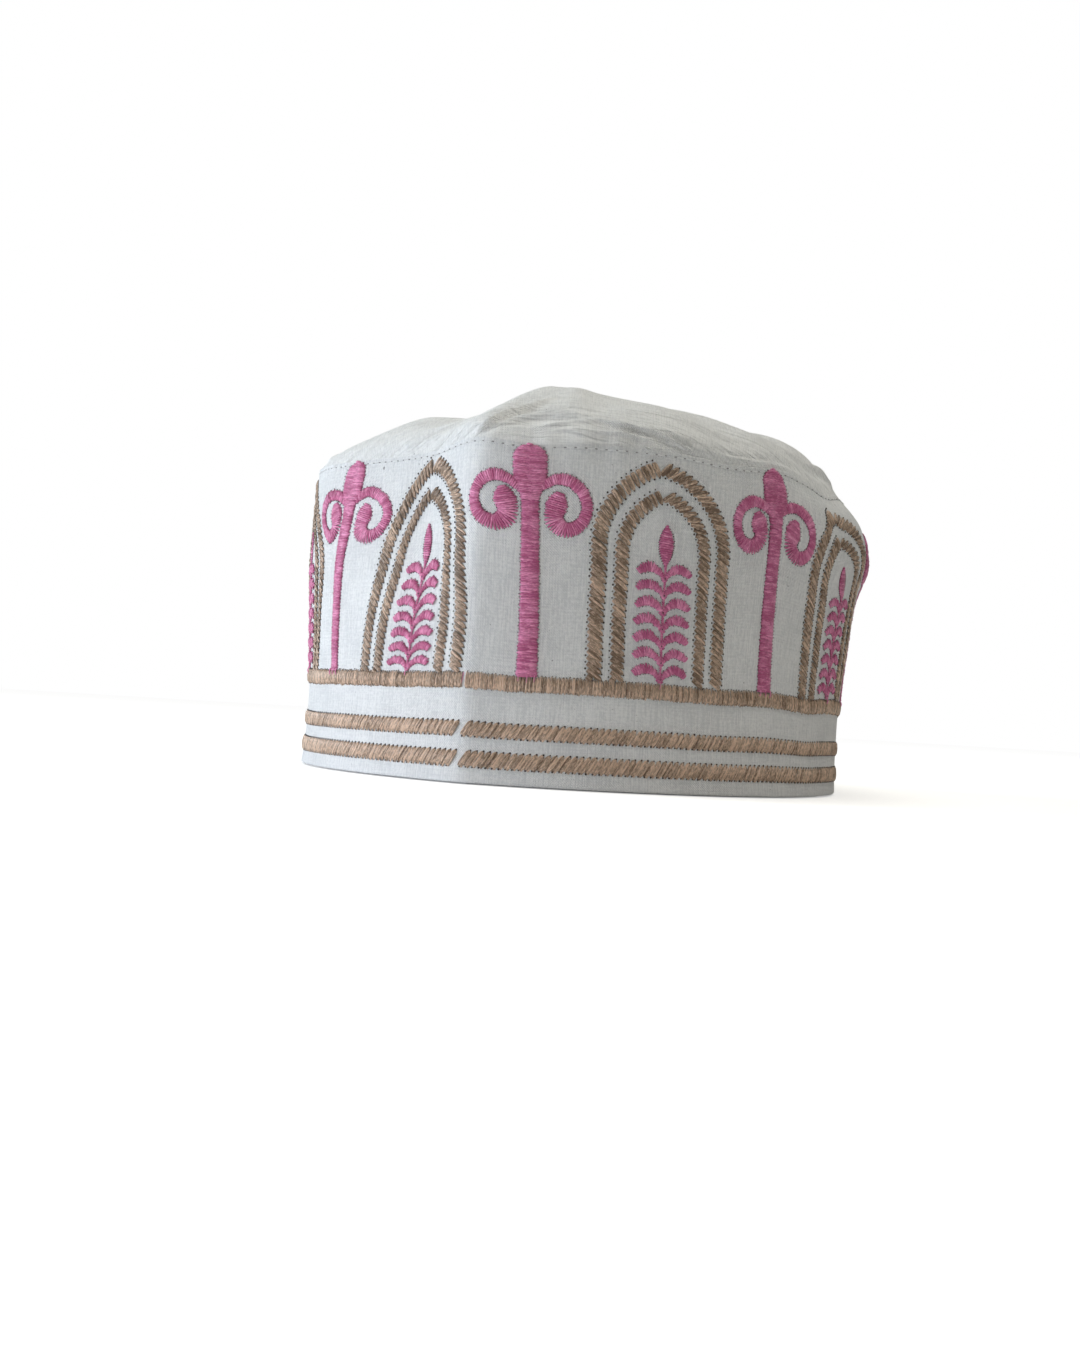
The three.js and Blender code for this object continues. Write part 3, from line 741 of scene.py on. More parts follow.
class Stitching:
    """Threads and needle holes of one motif, gathered and then joined in one mesh."""

    tone = 0.3
    tone_drift = 0.1

    def __init__(self, centre, seed):
        self.centre = centre
        self.random = np.random.default_rng(seed)
        self.parts = []
        sizes = bpy.context.scene.kufi_sizes
        self.half_width = sizes.thread_width / MM / 2
        self.half_height = sizes.thread_height / MM / 2
        self.hole_radius = sizes.hole_width / MM / 2

    def threads(self, start, end, lift=0.42, width=None, aside=None, tone=None,
                lifts=RING_LIFTS, widths=RING_WIDTHS, spreads=RING_SPREADS):
        """Lays threads from start to end, arrays of flat places on the band. width is half a
        thread's width, aside moves each thread's middle, and tone, from 0 to 1, is how light
        it is."""
        start = np.asarray(start, float)
        end = np.asarray(end, float)
        count = len(start)
        if count == 0:
            return
        flat = start[:, None] + (end - start)[:, None] * RING_SHARES[None, :, None]
        if aside is not None:
            flat = flat + np.asarray(aside, float)[:, None] * spreads[None, :, None]
        places, outward = self.seat(flat)
        lift = lift + self.random.normal(0, LIFT_WANDER, count)
        raised = places + outward * (lift[:, None] * lifts[None])[..., None]
        along = unit(np.gradient(raised, axis=1))
        side = unit(np.cross(outward, along))
        up = np.cross(along, side)
        half_width = (width or self.half_width) * widths[None] * np.ones((count, 1))
        half_height = self.half_height * widths[None] * np.ones((count, 1))
        corner = (raised[:, RING_OF]
                  + side[:, RING_OF] * (np.cos(SIDE_TURNS) * half_width[:, RING_OF])[..., None]
                  + up[:, RING_OF] * (np.sin(SIDE_TURNS) * half_height[:, RING_OF])[..., None])
        length = np.linalg.norm(end - start, axis=1)
        uv = THREAD["uv"][None] * np.stack([length, np.ones(count)], -1)[:, None]
        uv = uv + self.random.uniform(*FIBRE_PLACES, (count, 1, 1)) * np.array([1, 0])
        if tone is None:
            wander = self.random.normal(0, 1, count + len(DRIFT_WEIGHTS) - 1)
            drift = self.tone_drift * np.convolve(wander, DRIFT_WEIGHTS, mode="valid")
            tone = self.tone + drift + self.random.normal(0, TONE_WANDER, count)
            tone = np.clip(tone, 0, 1)
        self.parts.append((THREAD, corner, uv, tone, np.zeros(count)))

    def holes(self, at, radius=None, stretch=(1, 1), lift=HOLE_LIFT):
        """Needle holes at flat places on the band, dark with painted shade, stretched along it or
        up it.
        """
        at = np.asarray(at, float)
        count = len(at)
        if count == 0:
            return
        places, outward = self.seat(at)
        across = unit(np.cross(outward, np.array([0.0, 0, 1])))
        upward = np.cross(outward, across)
        size = (radius or self.hole_radius) * self.random.uniform(*HOLE_SIZES, (count, 1))
        local = HOLE["places"]
        corner = (places[:, None]
                  + across[:, None] * (local[None, :, 0] * size * stretch[0])[..., None]
                  + upward[:, None] * (local[None, :, 1] * size * stretch[1])[..., None]
                  + outward[:, None] * (local[None, :, 2:3] * HOLE_HEIGHT + lift))
        uv = np.repeat(HOLE["uv"][None], count, 0)
        self.parts.append((HOLE, corner, uv, np.zeros(count), np.ones(count)))

    def seat(self, flat):
        """Places on the cloth under flat places, and the directions out of it."""
        return cloth_seat(flat[..., 0] + self.centre, flat[..., 1])

    def mesh(self, name):
        """One mesh of all threads and holes, with their tones and a mark on the holes that picks
        their painted shade.
        """
        places, corners, sizes, uv, tones, holes = [], [], [], [], [], []
        before = 0
        for shape, corner, uv_part, tone, painted_hole_shade in self.parts:
            count, each = corner.shape[:2]
            places.append(corner.reshape(-1, 3))
            starts = before + np.arange(count)[:, None] * each
            corners.append((starts + shape["corners"][None]).ravel())
            sizes.append(np.tile(shape["sizes"], count))
            uv.append(uv_part.reshape(-1, 2))
            tones.append(np.repeat(tone, each))
            holes.append(np.repeat(painted_hole_shade, each))
            before += count * each
        places = np.concatenate(places) * MM
        corners = np.concatenate(corners)
        sizes = np.concatenate(sizes)
        mesh = bpy.data.meshes.new(name)
        mesh.vertices.add(len(places))
        mesh.loops.add(len(corners))
        mesh.polygons.add(len(sizes))
        mesh.vertices.foreach_set("co", places.ravel())
        mesh.loops.foreach_set("vertex_index", corners.astype(np.int32))
        starts = np.concatenate([[0], np.cumsum(sizes)[:-1]])
        mesh.polygons.foreach_set("loop_start", starts.astype(np.int32))
        mesh.update(calc_edges=True)
        mesh.uv_layers.new(name="UVMap")
        mesh.uv_layers[0].data.foreach_set("uv", np.concatenate(uv).ravel())
        for label, values in (("tone", tones), ("painted_hole_shade", holes)):
            attribute = mesh.attributes.new(label, "FLOAT", "POINT")
            attribute.data.foreach_set("value", np.concatenate(values))
        mesh.polygons.foreach_set("use_smooth", [True] * len(mesh.polygons))
        mesh.validate()
        return mesh


def pairs(along, height):
    """Flat places on the band, from lengths along it and heights up it."""
    return np.stack(np.broadcast_arrays(along, height), -1)


def left_of(direction):
    """The directions at a right angle to the left of flat ones."""
    return pairs(-direction[:, 1], direction[:, 0])


def motif_centre(number, past=0.0):
    """Where along the band a column stands, or a motif a share of a repeat past it."""
    return FIRST_COLUMN_AT + (number - 1 - REPEATS / 2 + past) * REPEAT


def along_path(path, pitch):
    """Even steps along a path of places: each step's place, the path's direction there and its
    share of the path's length."""
    path = np.asarray(path, float)
    steps = np.linalg.norm(np.diff(path[:, :2], axis=0), axis=1)
    lengths = np.concatenate([[0], np.cumsum(steps)])
    at = pitch * (0.5 + np.arange(int(lengths[-1] / pitch)))

    def places(where, columns):
        return np.stack([np.interp(where, lengths, path[:, k]) for k in range(columns)], -1)

    look = 0.15
    direction = unit(places(at + look, 2) - places(at - look, 2))
    return places(at, path.shape[1]), direction, at / lengths[-1]


def smooth_path(points, steps=12):
    """A curve through a few places that passes smoothly through each."""
    points = np.asarray(points, float)
    places = np.arange(len(points), dtype=float)
    fine = np.linspace(0, len(points) - 1, (len(points) - 1) * steps + 1)
    return np.stack([smooth_table(fine, places, points[:, k]) for k in range(points.shape[1])], -1)


def lay_bundles(stitching, outer, inner, first_bare=0.6, last_bare=0.05, spreads=BLUNT_SPREADS,
                widths=BLUNT_WIDTHS, threads=BUNDLE_THREADS):
    """Bundles of threads from outer to inner places, each drawn to a point at its last end."""
    across = unit(inner - outer)
    aside = left_of(across)
    spacing = BUNDLE_PITCH * BUNDLE_FILL / threads
    jitter = stitching.random.normal(0, PLACE_WANDER, outer.shape)
    for k in range(threads):
        offset = (k - (threads - 1) / 2) * spacing
        wander = stitching.random.normal(0, PLACE_WANDER, (len(outer), 1))
        stitching.threads(outer + jitter, inner + jitter, width=BUNDLE_WIDTH / threads,
                          lift=BUNDLE_LIFT - SIDE_THREAD_DROP * abs(k - 1),
                          aside=aside * (offset + wander), widths=widths, spreads=spreads)
    stitching.holes(outer - across * first_bare)
    stitching.holes(inner + across * last_bare)


def cut_at_foot(near, far):
    """Draws the near ends of bundles in along them where they would run below the foot."""
    fall = far[:, 1] - near[:, 1]
    level, past_foot, most = 0.01, 0.3, 0.8
    short = (FOOT - past_foot - near[:, 1]) / np.where(fall > level, fall, 1)
    return near + (far - near) * np.where(fall > level, np.clip(short, 0, most), 0)[:, None]


def arch_stitches(name, number):
    """A pointed arch: slanted bundles up its left leg to the point, and down its right leg."""
    arch = ARCHES[name]
    radius = arch["half_width"] + arch["centre_offset"]
    apex_turn = math.acos(arch["centre_offset"] / radius)
    turns = np.linspace(0, apex_turn, 40)
    right_arc = pairs(radius * np.cos(turns) - arch["centre_offset"],
                      arch["spring"] + radius * np.sin(turns))
    right = np.concatenate([[[arch["half_width"], FOOT - ARCH_TUCK]], right_arc])
    left = right * np.array([-1, 1])
    stitching = Stitching(motif_centre(number, 0.5), 100 + number)
    half = arch["stroke"] / 2
    leg = arch["spring"] - FOOT + ARCH_TUCK
    for path, rising in ((left, True), (right[::-1], False)):
        place, direction, share = along_path(path, BUNDLE_PITCH)
        outward = left_of(direction)
        slant = np.full(len(place), SLANT)
        if rising:
            length = leg + radius * apex_turn
            shoulder = leg + radius * ARCH_SHOULDER
            slant = smooth_table(share * length, (0, leg, shoulder, length),
                                 (SLANT, SLANT, SHOULDER_SLANT, POINT_SLANT))
        lag = direction * (slant * half)[:, None]
        outer = place + outward * half + lag
        inner = place - outward * half - lag
        outer, inner = cut_at_foot(outer, inner), cut_at_foot(inner, outer)
        if rising:
            lay_bundles(stitching, outer, inner)
        else:
            lay_bundles(stitching, inner, outer)
    return stitching


def shaft_stitches(number):
    """The column: two rows of level satin stitches that meet on its middle line."""
    stitching = Stitching(motif_centre(number), 200 + number)
    heights = np.arange(SHAFT_HEIGHTS[0], SHAFT_HEIGHTS[-1], SHAFT_PITCH)
    width = smooth_table(heights, SHAFT_HEIGHTS, SHAFT_WIDTHS)
    if number == NARROW_COLUMN:
        width = width * np.interp(heights, *NARROWING)
    count = len(heights)
    random = stitching.random
    for side in (-1, 1):
        edge = pairs(side * (width / 2 + random.normal(0, 0.1, count)), heights)
        middle = pairs(-side * 0.7 + random.normal(0, 0.2, count), heights + 0.1 * side)
        edge[:, 1] += random.normal(0, PLACE_WANDER, count)
        stitching.threads(edge, middle, lift=0.52, width=0.3, lifts=SHAFT_LIFTS)
        stitching.holes((edge + [side * 0.12, SHAFT_PITCH / 2])[::2], radius=0.15,
                        stretch=(1.3, 0.8))
    lock_stitches(stitching, (-1.9, 0.1, 2.0))
    if number == JOIN_COLUMN:
        join = STRIP_JOIN_AT - FIRST_COLUMN_AT
        loose_thread = (join - 0.1, 24.4), (join + 0.2, 28.0)
        stitching.threads(loose_thread[:1], loose_thread[1:], lift=0.2, width=0.13, tone=[1.0])
    return stitching


def lock_stitches(stitching, places):
    """Short pink stitches that hold a motif's foot down over the wide border."""
    foot = pairs(places, FOOT + 0.5)
    drop = stitching.random.uniform(1.9, 2.6, len(places))
    stitching.threads(foot, foot - pairs(0.15, drop), lift=0.86, width=0.1,
                      tone=np.full(len(places), 0.8))


def stroke_stitches(stitching, path, pitch, ragged=0.08, lift=0.48, tucked=0):
    """Satin stitches across a stroke whose path gives its place and its width. Its first
    tucked stitches lie low."""
    place, direction, _ = along_path(path, pitch)
    lift = np.full(len(place), lift)
    lift[:tucked] *= 0.5
    outward = left_of(direction)
    half = place[:, 2:3] / 2
    ends = [place[:, :2] + side * outward * (half + stitching.random.normal(0, ragged, half.shape))
            for side in (1, -1)]
    stitching.threads(*ends, lift=lift)
    between = direction * pitch / 2
    for end, side in zip(ends, (1, -1)):
        stitching.holes((end + between + side * outward * 0.12)[::2], radius=0.17)


def volute_stitches(side, number):
    """A volute at the left (-1) or right (1) of its column; the right ones stand a bit off."""
    stitching = Stitching(motif_centre(number), 300 + number)
    points = np.array(VOLUTE)
    if side > 0:
        points = points + [RIGHT_VOLUTE_OUT, -RIGHT_VOLUTE_DOWN, 0]
        points[:3] += RIGHT_VOLUTE_START
    path = smooth_path(points * [side, 1, 1])
    stroke_stitches(stitching, path, SATIN_PITCH, tucked=3)
    return stitching


def frond_stitches(number):
    """The frond in an arch: its pairs of leaves, its stem and its bud."""
    stitching = Stitching(motif_centre(number, 0.5), 400 + number)
    random = stitching.random
    leaf = np.array(LEAF)
    for pair in range(LEAF_PAIRS):
        root = FIRST_LEAF + pair * LEAF_PITCH
        for side in (-1, 1):
            path = smooth_path(leaf * [side, 1, 1] + [0, root, 0], 8)
            stroke_stitches(stitching, path, LEAF_STITCH, ragged=0.1, lift=0.5)
        stitching.holes([(0, root - 0.8)], radius=0.3, lift=0.5)
    lock_stitches(stitching, (0.0,))
    heights = np.arange(FOOT + 0.4, BUD[0][0], STEM_PITCH)
    for side in (-1, 1):
        top = pairs(side * (0.3 + random.normal(0, 0.05, len(heights))), heights + 0.8)
        stitching.threads(top, pairs(-side * 0.1, heights), lift=0.36, width=0.19)
    bud_heights = np.arange(BUD[0][0], BUD[-1][0], LEAF_STITCH)
    half = smooth_table(bud_heights, *zip(*BUD)) / 2
    ragged = random.normal(0, 0.06, (2, len(bud_heights)))
    first = pairs(-half - ragged[0], bud_heights + 0.12)
    second = pairs(half + ragged[1], bud_heights - 0.12)
    stitching.threads(first, second, lift=0.45)
    stitching.holes(first - [0.08, 0.2], radius=0.16)
    stitching.holes(second + [0.08, 0.2], radius=0.16)
    return stitching


class StripStitching(Stitching):
    """Stitches of a border, whose places run straight round the band without the lean."""
    tone = 0.55
    tone_drift = 0.03

    def seat(self, flat):
        """Places on the cloth under flat places, and the directions out of it."""
        return border_seat(flat[..., 0], flat[..., 1])


# The strip of cloth runs once round, from one side of its join to the other.
STRIP_START = STRIP_JOIN_AT + STRIP_JOIN_GAP / 2
STRIP_END = STRIP_JOIN_AT - STRIP_JOIN_GAP / 2 + GIRTH
BORDER_SEEDS = {"border_lower": 501, "border_upper": 502, "border_wide": 503}


def narrow_border_stitches(name):
    """A narrow border: slanted bundles side by side round the band."""
    low, high = BORDERS[name]
    stitching = StripStitching(0, BORDER_SEEDS[name])
    lean = BORDER_SLANT * (high - low)
    count = int((STRIP_END - STRIP_START - lean) / BUNDLE_PITCH)
    at = np.linspace(STRIP_START, STRIP_END - lean, count)
    lay_bundles(stitching, pairs(at, low), pairs(at + lean, high), first_bare=0.1, last_bare=0.1,
                spreads=FULL_SPREADS, widths=FULL_WIDTHS, threads=BORDER_THREADS)
    return stitching


def wide_border_stitches():
    """The wide border: upright stitches close to each other, with ragged ends."""
    low, high = BORDERS["border_wide"]
    stitching = StripStitching(0, BORDER_SEEDS["border_wide"])
    stitching.tone = 0.5
    count = int((STRIP_END - STRIP_START) / WIDE_PITCH)
    random = stitching.random
    at = np.linspace(STRIP_START, STRIP_END, count) + random.normal(0, 0.03, count)
    bottom = pairs(at, low + random.normal(0, 0.13, count))
    top = pairs(at + 0.1, high + random.normal(0, 0.12, count))
    stitching.threads(bottom, top, lift=0.55, width=0.27, lifts=WIDE_LIFTS, widths=WIDE_WIDTHS)
    stitching.holes((top + [0.2, 0.05])[::2], radius=0.17)
    stitching.holes((bottom - [0, 0.05])[::3], radius=0.12)
    return stitching


def top_stitches():
    """The line of stitches along the crown's seam, its stitch holes dark with painted shade, and
    the dark speck beside it.
    """
    stitching = StripStitching(0, 601)
    count = int(GIRTH / TOP_STITCH_PITCH)
    at = np.arange(count) * GIRTH / count
    height = BAND_HEIGHT - TOP_STITCH_DOWN
    stitching.threads(pairs(at + TOP_STITCH_BARE, height),
                      pairs(at + TOP_STITCH_PITCH - TOP_STITCH_BARE, height), lift=0.1, width=0.17)
    # The stitch holes take the fleck colour as painted shade in their dimples; the speck beside
    # them is a real dark mark.
    stitching.holes(pairs(at, height), radius=0.18, stretch=(2.3, 0.95))
    stitching.holes([SPECK_AT], radius=0.24, stretch=(0.8, 2.0))
    return stitching


def new_material(name, roughness, sheen, sheen_roughness):
    """A material, its nodes, and its shader with its finish."""
    material = bpy.data.materials.new(name)
    material.use_nodes = True
    tree = material.node_tree
    shader = tree.nodes["Principled BSDF"]
    shader.inputs["Roughness"].default_value = roughness
    shader.inputs["Sheen Weight"].default_value = sheen
    shader.inputs["Sheen Roughness"].default_value = sheen_roughness
    return material, tree, shader


def group_with(name, inputs, outputs):
    """An empty node group with named sockets, and its input and output nodes."""
    group = bpy.data.node_groups.new(name, "ShaderNodeTree")
    for label, kind, value in inputs:
        socket = group.interface.new_socket(label, in_out="INPUT", socket_type=kind)
        if value is not None:
            socket.default_value = value
    for label, kind in outputs:
        group.interface.new_socket(label, in_out="OUTPUT", socket_type=kind)
    return group, group.nodes.new("NodeGroupInput"), group.nodes.new("NodeGroupOutput")


def feed(tree, socket, value):
    """Links a socket to another node's output, or sets its value."""
    if hasattr(value, "is_output"):
        tree.links.new(value, socket)
    else:
        socket.default_value = value


def add_node(tree, kind, settings=None, **values):
    """A new node with its settings and what its named sockets take."""
    node = tree.nodes.new(kind)
    for label, value in (settings or {}).items():
        setattr(node, label, value)
    for label, value in values.items():
        feed(tree, node.inputs[label.replace("_", " ")], value)
    return node


def math_node(tree, operation, *values):
    """The result of a sum of one or two values."""
    node = add_node(tree, "ShaderNodeMath", {"operation": operation})
    for socket, value in zip(node.inputs, values):
        feed(tree, socket, value)
    return node.outputs[0]


def remap(tree, value, low, high, new_low, new_high):
    """A value taken from one range to another."""
    node = add_node(tree, "ShaderNodeMapRange", Value=value, From_Min=low, From_Max=high,
                    To_Min=new_low, To_Max=new_high)
    return node.outputs["Result"]


def mixed(tree, share, first, second):
    """A colour between two, by a share."""
    node = add_node(tree, "ShaderNodeMix", {"data_type": "RGBA"}, Factor=share, A=first, B=second)
    return node.outputs["Result"]


def noise(tree, place, scale, detail, stretch=None, turn=0.0, distortion=0.0):
    """Flat noise, with its places turned and drawn out first where a stretch is given."""
    if stretch:
        place = add_node(tree, "ShaderNodeMapping", Vector=place, Scale=(*stretch, 1),
                         Rotation=(0, 0, turn)).outputs[0]
    node = add_node(tree, "ShaderNodeTexNoise", {"noise_dimensions": "2D"}, Vector=place,
                    Scale=scale, Detail=detail, Distortion=distortion)
    return node.outputs[0]


def weave_group():
    """Plain weave with uneven yarns, read from lengths in metres."""
    group, entry, leave = group_with(
        "cotton weave",
        [("Place", "NodeSocketVector", None), ("Yarn", "NodeSocketFloat", 0.00034),
         ("Slubs", "NodeSocketFloat", 1.0)],
        [("Height", "NodeSocketFloat"), ("Shade", "NodeSocketFloat"),
         ("Fleck", "NodeSocketFloat")],
    )
    place = entry.outputs["Place"]
    turns = math_node(group, "DIVIDE", math.pi, entry.outputs["Yarn"])
    yarns = add_node(group, "ShaderNodeVectorMath", {"operation": "SCALE"}, Vector=place,
                     Scale=turns)
    parts = add_node(group, "ShaderNodeSeparateXYZ", Vector=yarns.outputs[0])
    warp = math_node(group, "SINE", parts.outputs["X"])
    weft = math_node(group, "SINE", parts.outputs["Y"])
    crossing = math_node(group, "MULTIPLY", warp, weft)
    slubs = noise(group, place, scale=1.0, detail=2.0, stretch=(2600, 130))
    slubs_across = noise(group, place, scale=1.0, detail=2.0, stretch=(110, 2300))
    slubs_across = math_node(group, "MULTIPLY", slubs_across, 0.45)
    grain = math_node(group, "MULTIPLY", noise(group, place, scale=1300.0, detail=3.0), 0.8)
    streaks = math_node(group, "ADD", math_node(group, "ADD", slubs, slubs_across), grain)
    level = math_node(group, "SUBTRACT", streaks, 1.12)
    uneven = math_node(group, "MULTIPLY", level, entry.outputs["Slubs"])
    height = math_node(group, "ADD", math_node(group, "MULTIPLY", crossing, 0.22), uneven)
    group.links.new(height, leave.inputs["Height"])
    patchy = remap(group, noise(group, place, scale=70.0, detail=4.0), 0, 1, 0.36, 0.64)
    shade = math_node(group, "ADD", math_node(group, "MULTIPLY", uneven, 1.3), patchy)
    group.links.new(shade, leave.inputs["Shade"])
    flecks = remap(group, noise(group, place, scale=900.0, detail=1.0), 0.83, 0.88, 0, 1)
    group.links.new(flecks, leave.inputs["Fleck"])
    return group


def crease_group():
    """Fine creases of thin cotton that has been worn and folded, longer one way than the other."""
    group, entry, leave = group_with(
        "worn creases", [("Place", "NodeSocketVector", None)], [("Height", "NodeSocketFloat")])
    place = entry.outputs["Place"]
    long_folds = noise(group, place, scale=1.0, detail=3.0, stretch=(55, 330), turn=-0.22,
                       distortion=0.6)
    short_folds = noise(group, place, scale=1.0, detail=3.0, stretch=(150, 760), turn=-0.35,
                        distortion=0.6)
    short_folds = math_node(group, "MULTIPLY", short_folds, 0.5)
    height = math_node(group, "ADD", long_folds, short_folds)
    group.links.new(height, leave.inputs["Height"])
    return group


def fibre_group():
    """Twisted shiny thread: fine lines along it that turn round it, and painted glints that
    lighten its colour in short spots.
    """
    group, entry, leave = group_with(
        "thread fibres",
        [("Place", "NodeSocketVector", None), ("Tone", "NodeSocketFloat", 0.5)],
        [("Height", "NodeSocketFloat"), ("Shade", "NodeSocketFloat")],
    )
    place = entry.outputs["Place"]
    fibre = noise(group, place, scale=2.2, detail=2.0, stretch=(1.3, 4.0), turn=0.35)
    group.links.new(fibre, leave.inputs["Height"])
    spread = math_node(group, "MULTIPLY", math_node(group, "SUBTRACT", fibre, 0.5), 0.8)
    # Painted highlight: short light glints added to the thread's colour, standing in for its
    # sheen.
    painted_glints = noise(group, place, scale=1.7, detail=1.0, stretch=(0.6, 1.2))
    painted_glints = remap(group, painted_glints, 0.5, 0.64, -0.07, 0.28)
    shade = math_node(group, "ADD", entry.outputs["Tone"], spread)
    group.links.new(math_node(group, "ADD", shade, painted_glints), leave.inputs["Shade"])
    return group


def shared(name, make):
    """The node group of that name, made when it is first asked for."""
    return bpy.data.node_groups.get(name) or make()


def cloth_material(name, light, dark, fleck_and_hole_shade, slubs, crumple):
    """Woven cotton: its yarns, slubs, flecks and creases."""
    material, tree, shader = new_material(name, *COTTON_FINISH)
    place = add_node(tree, "ShaderNodeUVMap", {"uv_map": "UVMap"}).outputs[0]
    weave = {"node_tree": shared("cotton weave", weave_group)}
    cloth = add_node(tree, "ShaderNodeGroup", weave, Place=place, Slubs=slubs).outputs
    base = mixed(tree, remap(tree, cloth["Shade"], 0.38, 0.62, 0, 1), dark, light)
    feed(tree, shader.inputs["Base Color"], mixed(tree, cloth["Fleck"], base, fleck_and_hole_shade))
    folds = {"node_tree": shared("worn creases", crease_group)}
    creased = add_node(tree, "ShaderNodeGroup", folds, Place=place).outputs["Height"]
    creases = add_node(tree, "ShaderNodeBump", Strength=crumple, Distance=0.0014, Height=creased)
    bump = add_node(tree, "ShaderNodeBump", Strength=0.8, Distance=0.0005, Height=cloth["Height"],
                    Normal=creases.outputs[0])
    feed(tree, shader.inputs["Normal"], bump.outputs[0])
    return material


def thread_material(name, light, dark, painted_hole_shade, roughness):
    """Shiny thread in its tones, with painted shade: the mouths of its needle holes are coloured
    dark.
    """
    material, tree, shader = new_material(name, roughness, *THREAD_SHEEN)
    place = add_node(tree, "ShaderNodeUVMap", {"uv_map": "UVMap"}).outputs[0]
    tone = add_node(tree, "ShaderNodeAttribute", {"attribute_name": "tone"}).outputs["Fac"]
    hole_shade_mask = add_node(tree, "ShaderNodeAttribute", {"attribute_name": "painted_hole_shade"}).outputs["Fac"]
    fibres = {"node_tree": shared("thread fibres", fibre_group)}
    fibre = add_node(tree, "ShaderNodeGroup", fibres, Place=place, Tone=tone).outputs
    base = mixed(tree, remap(tree, fibre["Shade"], 0.1, 0.9, 0, 1), dark, light)
    # The needle hole buttons take a near-black colour: painted shade where the holes are recessed.
    feed(tree, shader.inputs["Base Color"], mixed(tree, hole_shade_mask, base, painted_hole_shade))
    bump = add_node(tree, "ShaderNodeBump", Strength=0.7, Distance=0.0001, Height=fibre["Height"])
    feed(tree, shader.inputs["Normal"], bump.outputs[0])
    return material


def finished(name):
    """The material of that name in the panel's colours, made when it is first asked for."""
    look = bpy.context.scene.kufi_colours

    # Light, thin and fleck colours, then how strong the slubs and the creases are.
    cloths = {
        "woven_cotton": (look.cotton, look.cotton_dark, look.fleck_and_hole_shade, 0.4, 0.3),
        # The crown's colours are partly its own, partly painted light for the light through its
        # thin cloth.
        "creased_cotton": (look.crown, look.crown_dark, look.fleck_and_hole_shade, 0.4, 1.0),
        "inner_cotton": (look.lining, look.lining_dark, look.fleck_and_hole_shade, 0.7, 0.3),
    }

    # Light, dark and needle hole colours, the last of them painted shade, then the roughness.
    threads = {
        "tan_embroidery": (look.tan, look.tan_dark, look.painted_hole_shade, 0.3),
        "pink_embroidery": (look.pink, look.pink_dark, look.painted_hole_shade, 0.3),
        # The seam thread's hole colour is the fleck colour, used as painted shade in its stitch
        # holes.
        "seam_thread": (look.cotton, look.cotton_dark, look.fleck_and_hole_shade, 0.6),
    }
    if name in bpy.data.materials:
        return bpy.data.materials[name]
    if name in cloths:
        return cloth_material(name, *cloths[name])
    return thread_material(name, *threads[name])


def colour(label, text, value):
    """A colour in the panel."""
    return bpy.props.FloatVectorProperty(name=label, description=text, subtype="COLOR", size=4,
                                         min=0, max=1, default=value)


class KufiColours(bpy.types.PropertyGroup):
    """Colours of the cloths and threads"""
    cotton: colour("Cotton", "Light parts of the outer cotton", (0.91, 0.91, 0.915, 1))
    cotton_dark: colour("Cotton, thin", "Where the outer cotton is thin", (0.75, 0.755, 0.77, 1))
    # The crown's cotton is lighter than the band's: partly its own colour, partly painted light
    # for the light through the thin cloth.
    crown: colour("Crown", "Light parts of the crown's thin cotton", (0.96, 0.96, 0.96, 1))
    crown_dark: colour("Crown, thin", "Where the crown's cotton is thin", (0.82, 0.82, 0.83, 1))
    lining: colour("Lining", "Light parts of the lining", (0.83, 0.84, 0.86, 1))
    lining_dark: colour("Lining, thin", "Where the lining is thin", (0.74, 0.75, 0.78, 1))
    # The fleck colour is the cotton's own flecks and the speck, and painted shade in the seam's
    # stitch holes.
    fleck_and_hole_shade: colour("Fleck", "Dark flecks in the cotton", (0.30, 0.29, 0.30, 1))
    tan: colour("Tan thread", "Light tan thread", (0.87, 0.64, 0.49, 1))
    tan_dark: colour("Tan thread, dark", "Dark tan thread", (0.205, 0.135, 0.09, 1))
    pink: colour("Pink thread", "Light pink thread", (0.98, 0.39, 0.64, 1))
    pink_dark: colour("Pink thread, dark", "Dark pink thread", (0.55, 0.118, 0.27, 1))
    # The needle hole colour is painted shade: near black where the holes are recessed.
    painted_hole_shade: colour("Needle hole", "The mouth of a needle hole", (0.05, 0.035, 0.035, 1))
    floor: colour("Floor", "The plain floor", (0.9, 0.9, 0.9, 1))


def amount(label, text, value, least=0, unit="NONE"):
    """A number in the panel."""
    return bpy.props.FloatProperty(name=label, description=text, unit=unit, default=value,
                                   min=least, precision=5)


class KufiSizes(bpy.types.PropertyGroup):
    """Sizes of the cloths and threads"""
    outer_cloth: amount("Outer cloth", "Thickness of the outer cloth", 0.00115, unit="LENGTH")
    lining_cloth: amount("Lining", "Thickness of the lining", 0.001, unit="LENGTH")
    crown_cloth: amount("Crown", "Thickness of the crown's cloth", 0.0011, unit="LENGTH")
    thread_width: amount("Thread width", "Width of a satin stitch", 0.00072, unit="LENGTH")
    thread_height: amount("Thread height", "Height of a thread", 0.0004, unit="LENGTH")
    hole_width: amount("Needle hole", "Width of the holes at bundles", 0.00058, unit="LENGTH")


class KufiStage(bpy.types.PropertyGroup):
    """Light and camera"""
    key_power: amount("Window light", "Power of the soft light from the left", 15.4, unit="POWER")
    top_power: amount("Top light", "Power of the soft light from above", 11.4, unit="POWER")
    low_power: amount("Low light", "Power of the soft light low on the left", 0.1, unit="POWER")
    room: amount("Room light", "Strength of the even light from all round", 0.05)
    lens: amount("Lens", "Focal length of the camera, in millimetres", 41.6, least=10,
                 unit="CAMERA")


